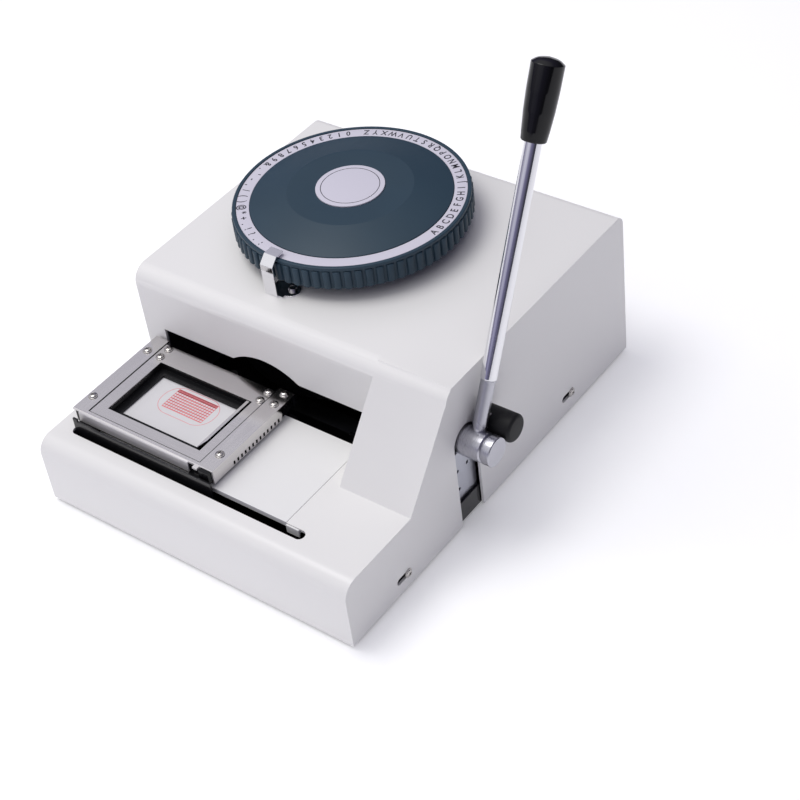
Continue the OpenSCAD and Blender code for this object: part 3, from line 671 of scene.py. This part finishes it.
class EMBOSSER_OT_finishes(bpy.types.Operator):
    """Makes every finish and gives each CAD node its own"""

    bl_idname = "embosser.finishes"
    bl_label = "Finishes"

    def execute(self, context):
        paint = context.scene.embosser_paint
        metal = context.scene.embosser_metal
        coated("Cover powder coat", tuple(paint.cover), 0.36, drift=9.0, grit=620.0,
               relief=0.10, tint=0.012, **{"Coat Weight": 0.12, "Coat Roughness": 0.25})
        coated("Deck sheet", tuple(paint.deck), 0.30, drift=9.0, grit=620.0,
               relief=0.07, tint=0.012, **{"Coat Weight": 0.15, "Coat Roughness": 0.2})
        dull = {"Specular IOR Level": 0.22}
        coated("Dial moulding", tuple(paint.dial), 0.42, drift=24.0, grit=1500.0,
               relief=0.16, tint=0.10, **{"Specular IOR Level": 0.30})
        coated("Label print", tuple(paint.label), 0.28, drift=20.0, grit=400.0,
               relief=0.02, tint=0.015)
        coated("Black ink", (0.02, 0.02, 0.028), 0.35, relief=0.01, tint=0.1)
        coated("Red ink", tuple(paint.print_red), 0.4, relief=0.01, tint=0.12,
               drift=300.0)
        coated("Guide card", (0.66, 0.65, 0.66), 0.33, drift=18.0, grit=500.0,
               relief=0.03, tint=0.02)
        coated("Black paint", (0.008, 0.008, 0.009), 0.13, grit=700.0, relief=0.06,
               tint=0.2)
        coated("Black frame", (0.006, 0.006, 0.007), 0.40, grit=700.0, relief=0.14,
               tint=0.2, **dull)
        coated("Black plastic", (0.007, 0.007, 0.008), 0.22, grit=1100.0, relief=0.08,
               tint=0.2, **dull)
        coated("Grip plastic", (0.003, 0.003, 0.0035), 0.09, drift=40.0, grit=300.0,
               relief=0.01, tint=0.2, **{"Specular IOR Level": 0.35})
        coated("Rubber", (0.009, 0.009, 0.010), 0.50, grit=1300.0, relief=0.20,
               tint=0.15, **dull)
        along_x = (45.0, 2400.0, 2400.0)
        along_y = (2400.0, 45.0, 2400.0)
        rough = metal.stainless_roughness
        brushed("Stainless along X", (0.68, 0.66, 0.655), rough, along_x)
        brushed("Stainless along Y", (0.70, 0.68, 0.675), rough, along_y)
        satin_lip("Stainless along Y", LIP_EDGE_Y, 0.34, 0.35)
        brushed("Zinc sheet", (0.50, 0.51, 0.56), 0.38, (2400.0, 2400.0, 60.0))
        brushed("Ground steel", (0.50, 0.50, 0.51), 0.30, (900.0, 900.0, 900.0))
        brushed("Dark tool steel", (0.10, 0.10, 0.11), 0.32, (700.0, 700.0, 700.0))
        brushed("Bronze", (0.55, 0.38, 0.20), 0.32, (800.0, 800.0, 800.0))
        plated("Chrome", (0.80, 0.80, 0.82), metal.chrome_roughness)
        plated("Bright screw", (0.52, 0.50, 0.48), 0.16, relief=0.05)
        turned("Turned satin", (0.47, 0.47, 0.51), 0.24, (SHAFT_Y, SHAFT_Z))
        by_slot = {
            "cover_paint": "Cover powder coat", "deck_white": "Deck sheet",
            "black_pan": "Black paint", "rubber": "Rubber",
            "zinc_plate": "Zinc sheet", "black_frame": "Black frame",
            "bronze": "Bronze", "steel": "Ground steel",
            "tool_steel": "Dark tool steel", "stainless": "Stainless along X",
            "chrome": "Chrome", "screw": "Bright screw",
            "dial_teal": "Dial moulding", "label": "Label print",
            "hub_satin": "Turned satin", "grip_black": "Grip plastic",
            "spring_wire": "Ground steel", "black_plastic": "Black plastic",
            "card_white": "Guide card",
        }
        slots = {s["node"]: s["material_slot"] for s in frame["record"]["subparts"]}
        for node, thing in NODES.items():
            thing.data.materials.clear()
            thing.data.materials.append(FINISHES[by_slot[slots[node]]])
        return {"FINISHED"}


class EMBOSSER_OT_cover(bpy.types.Operator):
    """Cover, deck plate and base pan with softened sheet edges"""

    bl_idname = "embosser.cover"
    bl_label = "Cover"

    def execute(self, context):
        sharpened_copy("cover_shell", "Cover powder coat", "housing",
                       0.0007, 3, 50.0, "cover")
        sharpened_copy("deck_plate", "Deck sheet", "housing", 0.0003)
        sharpened_copy("base_pan", "Black paint", "housing", 0.0004)
        sharpened_copy("side_plate_right", "Zinc sheet", "housing",
                       0.0003)
        sharpened_copy("inner_bearing_plate", "Black frame", "housing",
                       0.0003)
        return {"FINISHED"}


class EMBOSSER_OT_dial(bpy.types.Operator):
    """Ribbed dial with its label ring and centre cap"""

    bl_idname = "embosser.dial"
    bl_label = "Dial"

    def execute(self, context):
        dial = context.scene.embosser_dial
        to_axis = Matrix.Translation(DIAL_CENTRE)
        body = mm_points(rounded(
            [(0, 149), (10, 149), (10, 126), (20, 126), (20, 147), (43, 151.4),
             (68, 147.2), (80, 145), (80, 134), (82.9, 134), (82.9, 149.0),
             (83.9, 149.2), (83.9, 151.8), (81.15, 151.8), (81.15, 150.4),
             (71.5, 150.4), (71.5, 151.6),
             (44.6, 158.2), (24.55, 158.2), (24.55, 157.9), (0, 157.9)],
            [0, 0.2, 0.4, 0.6, 2, 3, 3, 1, 0.5, 0.5, 0.3, 0.3, 0.7, 0.3, 0, 0, 0.35,
             1.6, 0.2, 0, 0]))
        place_piece("dial_body", spun(body, 144, to_axis), "Dial moulding",
                    "type_head", ("dial_disc",), 30.0)
        self.ribs(dial)
        ring = mm_points(rounded(
            [(71.85, 150.5), (80.95, 150.5), (80.95, 151.2), (71.85, 151.2),
             (71.85, 150.5)], [0, 0.1, 0.12, 0.12, 0]))
        place_piece("label_band", spun(ring, 144, to_axis), "Label print",
                    "type_head", ("label_ring",), 30.0)
        cap = mm_points(rounded(
            [(0, 158.0), (24.4, 158.0), (24.4, 159.05), (0, 159.05)],
            [0, 0.1, 0.3, 0]))
        place_piece("cap_disc", spun(cap, 96, to_axis), "Label print",
                    "type_head", ("dial_cap",), 30.0)
        line = mm_points([(20.45, 158.95), (20.95, 158.95), (20.95, 159.09),
                          (20.45, 159.09), (20.45, 158.95)])
        place_piece("cap_circle", spun(line, 96, to_axis), "Black ink",
                    "type_head")
        return {"FINISHED"}

    def ribs(self, dial):
        """Rounded upright ribs round the rim."""
        pitch = FULL_TURN / dial.rib_count
        half = dial.rib_core * pitch * 0.37
        foot, crown = 0.1347, 0.1487
        reach = dial.rib_reach - dial.rib_core
        points = []
        for k in range(9):
            turn = math.pi * k / 8
            points.append((half * math.cos(turn),
                           dial.rib_core + reach * math.sin(turn) ** 0.55))
        points += [(-half, dial.rib_core - 0.0008), (half, dial.rib_core - 0.0008)]
        one = bmesh.new()
        face = one.faces.new([one.verts.new((x, y, foot)) for x, y in points])
        grown = bmesh.ops.extrude_face_region(one, geom=[face])
        top = [v for v in grown["geom"] if isinstance(v, bmesh.types.BMVert)]
        bmesh.ops.translate(one, vec=(0, 0, crown - foot), verts=top)
        bmesh.ops.recalc_face_normals(one, faces=one.faces)
        caps = [e for e in one.edges
                if abs(e.verts[0].co.z - e.verts[1].co.z) < 1e-6
                and max(e.verts[0].co.y, e.verts[1].co.y) > dial.rib_core + reach * 0.5]
        bmesh.ops.bevel(one, geom=caps, offset=0.0006, offset_type="OFFSET",
                        segments=2, profile=0.5, affect="EDGES", material=-1)
        bmesh.ops.spin(
            one, geom=one.verts[:] + one.edges[:] + one.faces[:], cent=(0, 0, 0),
            axis=(0, 0, 1), dvec=(0, 0, 0), angle=FULL_TURN - pitch,
            steps=dial.rib_count - 1, use_merge=False, use_duplicate=True)
        bmesh.ops.translate(one, vec=DIAL_CENTRE, verts=one.verts)
        place_piece("dial_ribs", one, "Dial moulding", "type_head",
                    smooth=50.0)


class EMBOSSER_OT_characters(bpy.types.Operator):
    """Letters, figures and signs printed on the label ring"""

    bl_idname = "embosser.characters"
    bl_label = "Characters"

    def execute(self, context):
        dial = context.scene.embosser_dial
        letters = [chr(ord("A") + i) for i in range(26)]
        figures = [str(i) for i in range(10)]
        signs = list("&.'-,/()@*+.!?.:")
        places = [(c, -6.0 + 5.0 * i) for i, c in enumerate(letters)]
        places += [(c, 129.0 + 5.0 * i) for i, c in enumerate(figures)]
        places += [(c, 179.0 + 5.0 * i) for i, c in enumerate(signs)]
        all_marks = bmesh.new()
        for sign, degrees in places:
            joined(all_marks, self.mark(sign, math.radians(degrees), dial))
        place_piece("dial_characters", all_marks, "Black ink", "type_head",
                    smooth=30.0)
        return {"FINISHED"}

    def mark(self, sign, angle, dial):
        """One character, its foot towards the dial's rim."""
        curve = bpy.data.curves.new("mark", "FONT")
        curve.body = sign
        curve.align_x = "CENTER"
        curve.size = dial.letter_height * 1.42
        curve.offset = 0.00014
        curve.resolution_u = 3
        curve.extrude = 0.00003
        holder = bpy.data.objects.new("mark", curve)
        bpy.context.scene.collection.objects.link(holder)
        bpy.context.view_layer.update()
        evaluated = holder.evaluated_get(bpy.context.evaluated_depsgraph_get())
        bm = bmesh.new()
        bm.from_mesh(evaluated.to_mesh())
        evaluated.to_mesh_clear()
        bpy.data.objects.remove(holder)
        bpy.data.curves.remove(curve)
        bmesh.ops.remove_doubles(bm, verts=bm.verts, dist=1e-7)
        bmesh.ops.scale(bm, vec=(0.82, 1.0, 1.0), verts=bm.verts)
        bmesh.ops.translate(bm, vec=(0, -dial.letter_height / 2, 0), verts=bm.verts)
        # the top of each character points to the dial's axis
        turn = Matrix.Rotation(angle + math.pi / 2, 4, "Z")
        centre = DIAL_CENTRE + Vector((
            dial.letter_radius * math.cos(angle),
            dial.letter_radius * math.sin(angle),
            RING_TOP + 0.00001,
        ))
        bmesh.ops.transform(bm, matrix=Matrix.Translation(centre) @ turn,
                            verts=bm.verts)
        return bm


class EMBOSSER_OT_pointer(bpy.types.Operator):
    """Folded chrome pointer beside the dial"""

    bl_idname = "embosser.pointer"
    bl_label = "Pointer"

    def execute(self, context):
        sharpened_copy("pointer_bracket", "Chrome", "housing", 0.00028, 3,
                       20.0, "pointer")
        return {"FINISHED"}


class EMBOSSER_OT_lever(bpy.types.Operator):
    """Lever with its hub, cap, stud, rod and grip"""

    bl_idname = "embosser.lever"
    bl_label = "Lever"

    def execute(self, context):
        line = (Matrix.Translation((LEVER_X, SHAFT_Y, SHAFT_Z))
                @ Matrix.Rotation(-LEVER_LEAN, 4, "X"))
        sideways = (Matrix.Translation((0, SHAFT_Y, SHAFT_Z))
                    @ Matrix.Rotation(math.pi / 2, 4, "Y"))
        stud = mm_points(rounded(
            [(0, 9.0), (4.6, 9.0), (4.95, 11.4), (4.95, 44.8), (5.2, 45.3), (5.2, 46),
             (0, 46)], [0, 0.1, 0.2, 0.2, 0.1, 0.1, 0]))
        place_piece("lever_stud_piece", spun(stud, 48, line), "Turned satin",
                    "press_lever", ("lever_stud",), 30.0)
        rod = mm_points(rounded(
            [(0, 45.8), (5.5, 45.8), (5.6, 46.4), (5.6, 203), (0, 203)],
            [0, 0.1, 0.2, 0.2, 0]))
        place_piece("lever_rod_piece", spun(rod, 64, line), "Chrome", "press_lever",
                    ("lever_rod",), 30.0)
        grip = mm_points(rounded(
            [(0, 201.6), (7.7, 201.6), (8.2, 202.2), (8.9, 208), (9.9, 220),
             (10.45, 233), (10.6, 249.6), (7.0, 252.2), (0, 253.55)],
            [0, 0.2, 0.5, 30, 40, 60, 0.7, 9, 0], 7))
        place_piece("lever_grip_piece", spun(grip, 96, line), "Grip plastic",
                    "press_lever", ("lever_grip",), 30.0)
        hub = mm_points(rounded(
            [(7.9, 122.5), (10.45, 122.5), (10.45, 150.1), (9.5, 151.1),
             (7.9, 151.1), (7.9, 122.5)], [0, 0.4, 0.3, 0.15, 0, 0]))
        place_piece("lever_hub_piece", spun(hub, 96, sideways), "Turned satin",
                    "press_lever", ("lever_hub",), 30.0)
        cap = mm_points(rounded(
            [(0, 151.15), (9.3, 151.15), (9.3, 151.7), (10.45, 152.5), (10.45, 158.0),
             (9.9, 158.5), (0, 158.5)], [0, 0.1, 0.15, 0.25, 0.25, 0.2, 0]))
        place_piece("hub_cap_piece", spun(cap, 96, sideways), "Turned satin",
                    "press_lever", ("hub_cap",), 30.0)
        return {"FINISHED"}


class EMBOSSER_OT_bumper(bpy.types.Operator):
    """Rubber lever stop and its bright pin"""

    bl_idname = "embosser.bumper"
    bl_label = "Lever stop"

    def execute(self, context):
        low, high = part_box("lever_bumper")
        middle = (low + high) / 2
        radius = (high.z - low.z) / 2
        length = high.x - low.x
        turn = (Matrix.Translation((low.x, middle.y, middle.z))
                @ Matrix.Rotation(math.pi / 2, 4, "Y"))
        profile = rounded(
            [(0, 0.0002), (radius, 0.0002), (radius, length), (0, length)],
            [0, 0.0004, 0.0026, 0], 8)
        place_piece("bumper", spun(profile, 72, turn), "Rubber", "housing",
                    ("lever_bumper",), 30.0)
        pin = rounded([(0, -0.0006), (0.0009, -0.0006), (0.0009, 0.0004), (0, 0.0005)],
                      [0, 0, 0.0004, 0], 4)
        spot = Vector((0.1435, 0.0, 0.0))
        lean = math.radians(115.0)
        spot.y = middle.y + radius * math.cos(lean)
        spot.z = middle.z + radius * math.sin(lean)
        aim = Matrix.Translation(spot) @ Matrix.Rotation(lean - math.pi / 2, 4, "X")
        place_piece("bumper_pin", spun(pin, 20, aim), "Bright screw", "housing",
                    smooth=30.0)
        return {"FINISHED"}


class EMBOSSER_OT_screws(bpy.types.Operator):
    """Cross-recessed screws of the carriage, cover and pointer"""

    bl_idname = "embosser.screws"
    bl_label = "Screws"

    def head(self, radius, height):
        """One washer-head screw top with a cross recess, standing on z = 0."""
        profile = rounded(
            [(0, -0.0006), (radius, -0.0006), (radius, 0.0006),
             (radius * 0.80, 0.00065), (radius * 0.78, height * 0.72),
             (radius * 0.42, height), (0, height * 1.02)],
            [0, 0, 0.0002, 0.0001, 0.0006, 0.0008, 0], 4)
        base = spun(profile, 40)
        arm, half = radius * 0.46, radius * 0.10
        tool = slab((-arm, -half, height * 0.42), (arm, half, height * 1.6))
        base = carved(base, tool)
        tool = slab((-half, -arm, height * 0.42), (half, arm, height * 1.6))
        return carved(base, tool)

    def set_of(self, name, places, radius, height, body, stands_for, aim=None):
        mesh = bpy.data.meshes.new("screw_pattern")
        one = self.head(radius, height)
        one.to_mesh(mesh)
        one.free()
        bm = bmesh.new()
        for i, place in enumerate(places):
            start = len(bm.verts)
            bm.from_mesh(mesh)
            bm.verts.ensure_lookup_table()
            fresh = bm.verts[start:]
            # each recess stands at its own angle, as screws do
            turn = Matrix.Rotation(math.radians(17 + 41 * i), 4, "Z")
            if aim:
                turn = aim(place) @ turn
            bmesh.ops.transform(
                bm, matrix=Matrix.Translation(place) @ turn, verts=fresh)
        bpy.data.meshes.remove(mesh)
        place_piece(name, bm, "Bright screw", body, stands_for, 35.0)

    def execute(self, context):
        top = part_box("card_plate")[1].z
        rails = [Vector((x, y, top)) for x, y in RAIL_SCREWS]
        plate = [Vector((x, y, top)) for x, y in PLATE_SCREWS]
        self.set_of("rail_screw_heads", rails, *TOP_HEAD, "carriage", ("rail_screws",))
        self.set_of("plate_screw_heads", plate, *TOP_HEAD, "card_table",
                    ("plate_screws",))
        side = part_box("cover_shell")[1].x
        places = [Vector((s * side, y, z)) for s in (-1, 1)
                  for y, z in SIDE_SCREWS]
        self.set_of("side_screw_heads", places, *SIDE_HEAD, "housing",
                    ("cover_screws",),
                    lambda p: Matrix.Rotation(math.copysign(math.pi / 2, p.x), 4, "Y"))
        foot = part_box("cover_shell")[1].z + POINTER_SHEET
        self.set_of("pointer_screw_head", [Vector((*POINTER_SCREW, foot))],
                    *POINTER_HEAD, "housing", ())
        return {"FINISHED"}


class EMBOSSER_OT_carriage(bpy.types.Operator):
    """Carriage sheets, skirt, tray, clip strip and thumb tab"""

    bl_idname = "embosser.carriage"
    bl_label = "Carriage"

    def execute(self, context):
        sharpened_copy("carriage_top_plate", "Stainless along Y", "carriage",
                       0.00035, 3, 25.0, "carriage_sheet")
        sharpened_copy("card_plate", "Stainless along X", "card_table",
                       0.0003)
        sharpened_copy("card_tray", "Black plastic", "card_table",
                       0.0004)
        sharpened_copy("guide_card", "Guide card", "card_table", 0.0002)
        sharpened_copy("carriage_skirt", "Black paint", "carriage",
                       0.0003)
        sharpened_copy("carriage_body", "Black plastic", "carriage",
                       0.0004)
        sharpened_copy("card_clip", "Stainless along Y", "clip_strip",
                       0.0004, 3)
        sharpened_copy("release_bar", "Black plastic", "line_release",
                       0.0005, 3)
        return {"FINISHED"}


class EMBOSSER_OT_guide_print(bpy.types.Operator):
    """Tag outline and cells printed on the guide card"""

    bl_idname = "embosser.guide_print"
    bl_label = "Guide print"

    def execute(self, context):
        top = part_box("guide_card")[1].z
        bm = self.outline(-0.0592, -0.0907, 0.0236, 0.0133, 0.0125, top)
        columns, rows = 16, 8
        left, right, low, high = -0.0766, -0.0408, -0.0990, -0.0803
        line, lift = 0.00045, 0.00004
        wide, deep = (right - left) / columns, (high - low) / rows
        for row in range(rows + 1):
            y = low + row * deep
            joined(bm, slab((left, y - line, top - lift), (right, y + line, top + lift)))
        for column in range(columns + 1):
            x = left + column * wide
            joined(bm, slab((x - line / 2, low, top - lift),
                            (x + line / 2, high, top + lift)))
        joined(bm, slab((left, high - deep, top - lift), (right, high, top + lift)))
        place_piece("guide_print", bm, "Red ink", "card_table")
        return {"FINISHED"}

    def outline(self, x, y, half_w, half_d, corner, top):
        """Thin closed line with rounded corners."""
        loops = []
        bm = bmesh.new()
        for grow in (0.0, 0.00035):
            verts = []
            for k in range(48):
                turn = FULL_TURN * k / 48
                cx = math.copysign(half_w - corner, math.cos(turn))
                cy = math.copysign(half_d - corner, math.sin(turn))
                reach = corner + grow
                verts.append(bm.verts.new((
                    x + cx + reach * math.cos(turn),
                    y + cy + reach * math.sin(turn), top - 0.00002)))
            loops.append([bm.edges.new((a, b))
                          for a, b in zip(verts, verts[1:] + verts[:1])])
        made = bmesh.ops.bridge_loops(bm, edges=loops[0] + loops[1])
        grown = bmesh.ops.extrude_face_region(bm, geom=made["faces"])
        top_verts = [v for v in grown["geom"] if isinstance(v, bmesh.types.BMVert)]
        bmesh.ops.translate(bm, vec=(0, 0, 0.00006), verts=top_verts)
        bmesh.ops.recalc_face_normals(bm, faces=bm.faces)
        return bm


class EMBOSSER_OT_stage(bpy.types.Operator):
    """Pale floor, soft lights and the camera"""

    bl_idname = "embosser.stage"
    bl_label = "Stage"

    def execute(self, context):
        stage = context.scene.embosser_stage
        self.floor()
        self.surround(stage.sky)
        self.light("Key", KEY_PLACE, (0, 0, 0.08), 0.8, stage.key_power,
                   (1.0, 0.99, 0.97))
        self.light("Front fill", FILL_PLACE, (0, 0, 0.05), 1.2,
                   stage.fill_power, (0.80, 0.80, 1.0))
        self.camera(stage)
        context.scene.view_settings.view_transform = "Standard"
        return {"FINISHED"}

    def floor(self):
        _, tree, shader, place = start_material(
            "Floor", Roughness=0.9,
            **{"Emission Color": (1.0, 1.0, 1.0, 1.0), "Emission Strength": 0.22})
        noise = add_node(tree, "ShaderNodeTexNoise", (-3, 0),
                         {"Vector": place, "Scale": 3.0, "Detail": 2.0})
        colour = mix_colours(tree, (0, 0), noise.outputs["Fac"],
                             (0.93, 0.93, 0.935), (0.95, 0.95, 0.955))
        tree.links.new(colour, shader.inputs["Base Color"])
        bm = bmesh.new()
        bmesh.ops.create_grid(bm, x_segments=8, y_segments=8,
                              size=FLOOR_HALF_WIDTH)
        mesh = bpy.data.meshes.new("floor")
        bm.to_mesh(mesh)
        bm.free()
        mesh.materials.append(FINISHES["Floor"])
        floor = bpy.data.objects.new("floor", mesh)
        bpy.context.scene.collection.objects.link(floor)

    def surround(self, strength):
        world = bpy.data.worlds.new("Studio")
        world.use_nodes = True
        tree = world.node_tree
        tree.nodes.clear()
        out = add_node(tree, "ShaderNodeOutputWorld", (4, 0))
        where = add_node(tree, "ShaderNodeTexCoord", (-4, 0))
        facing = add_node(tree, "ShaderNodeVectorMath", (-2, 0),
                          {0: where.outputs["Generated"], 1: (-0.30, -0.25, 0.92)},
                          operation="DOT_PRODUCT")
        ramp = add_node(tree, "ShaderNodeValToRGB", (-1, 0),
                        {"Fac": facing.outputs["Value"]})
        steps = ramp.color_ramp.elements
        steps[0].position = 0.0
        steps[0].color = (0.05, 0.05, 0.07, 1)
        steps[1].position = 0.85
        steps[1].color = (0.97, 0.97, 1.0, 1)
        middle = steps.new(0.40)
        middle.color = (0.19, 0.18, 0.30, 1)
        glow = add_node(tree, "ShaderNodeBackground", (2, 0),
                        {"Color": ramp.outputs["Color"], "Strength": strength})
        tree.links.new(glow.outputs["Background"], out.inputs["Surface"])
        bpy.context.scene.world = world

    def light(self, name, place, aim, size, power, colour):
        data = bpy.data.lights.new(name, "AREA")
        data.shape = "DISK"
        data.size = size
        data.energy = power
        data.color = colour
        lamp = bpy.data.objects.new(name, data)
        lamp.location = place
        look = Vector(aim) - Vector(place)
        lamp.rotation_euler = look.to_track_quat("-Z", "Y").to_euler()
        bpy.context.scene.collection.objects.link(lamp)

    def camera(self, stage):
        right = Vector((math.cos(stage.yaw), math.sin(stage.yaw), 0.0))
        back = Vector((math.sin(stage.yaw) * math.cos(stage.pitch),
                       -math.cos(stage.yaw) * math.cos(stage.pitch),
                       math.sin(stage.pitch)))
        down = (-back).cross(right)
        turned_right = math.cos(stage.roll) * right + math.sin(stage.roll) * down
        turned_down = -math.sin(stage.roll) * right + math.cos(stage.roll) * down
        data = bpy.data.cameras.new("Camera")
        data.lens = stage.lens
        data.sensor_width = 36.0
        data.clip_start = 0.01
        camera = bpy.data.objects.new("Camera", data)
        axes = Matrix((turned_right, -turned_down, back)).transposed().to_4x4()
        camera.matrix_world = Matrix.Translation(Vector(stage.place)) @ axes
        bpy.context.scene.collection.objects.link(camera)
        bpy.context.scene.camera = camera


class EMBOSSER_PT_panel(bpy.types.Panel):
    """Sidebar panel with the machine's settings and builders"""

    bl_idname = "EMBOSSER_PT_panel"
    bl_label = "Card Embossing Machine"
    bl_space_type = "VIEW_3D"
    bl_region_type = "UI"
    bl_category = "Embosser"

    def draw(self, context):
        layout = self.layout
        for attribute, _ in SETTINGS:
            settings = getattr(context.scene, attribute)
            box = layout.box()
            for prop in settings.__annotations__:
                box.prop(settings, prop)
        for operator in OPERATORS:
            layout.operator(operator.bl_idname)


OPERATORS = (
    EMBOSSER_OT_finishes,
    EMBOSSER_OT_stage,
    EMBOSSER_OT_cover,
    EMBOSSER_OT_dial,
    EMBOSSER_OT_characters,
    EMBOSSER_OT_pointer,
    EMBOSSER_OT_lever,
    EMBOSSER_OT_bumper,
    EMBOSSER_OT_screws,
    EMBOSSER_OT_carriage,
    EMBOSSER_OT_guide_print,
)
SETTINGS = (
    ("embosser_paint", PaintSettings),
    ("embosser_metal", MetalSettings),
    ("embosser_dial", DialSettings),
    ("embosser_stage", StageSettings),
)


def register():
    for attribute, group_class in SETTINGS:
        bpy.utils.register_class(group_class)
        setattr(bpy.types.Scene, attribute, PointerProperty(type=group_class))
    for operator in OPERATORS:
        bpy.utils.register_class(operator)
    bpy.utils.register_class(EMBOSSER_PT_panel)


def unregister():
    bpy.utils.unregister_class(EMBOSSER_PT_panel)
    for operator in reversed(OPERATORS):
        bpy.utils.unregister_class(operator)
    for attribute, group_class in reversed(SETTINGS):
        delattr(bpy.types.Scene, attribute)
        bpy.utils.unregister_class(group_class)


def main():
    register()
    bpy.ops.embosser.finishes()
    bpy.ops.embosser.stage()
    bpy.ops.embosser.cover()
    bpy.ops.embosser.dial()
    bpy.ops.embosser.characters()
    bpy.ops.embosser.pointer()
    bpy.ops.embosser.lever()
    bpy.ops.embosser.bumper()
    bpy.ops.embosser.screws()
    bpy.ops.embosser.carriage()
    bpy.ops.embosser.guide_print()


if __name__ == "__main__":
    main()
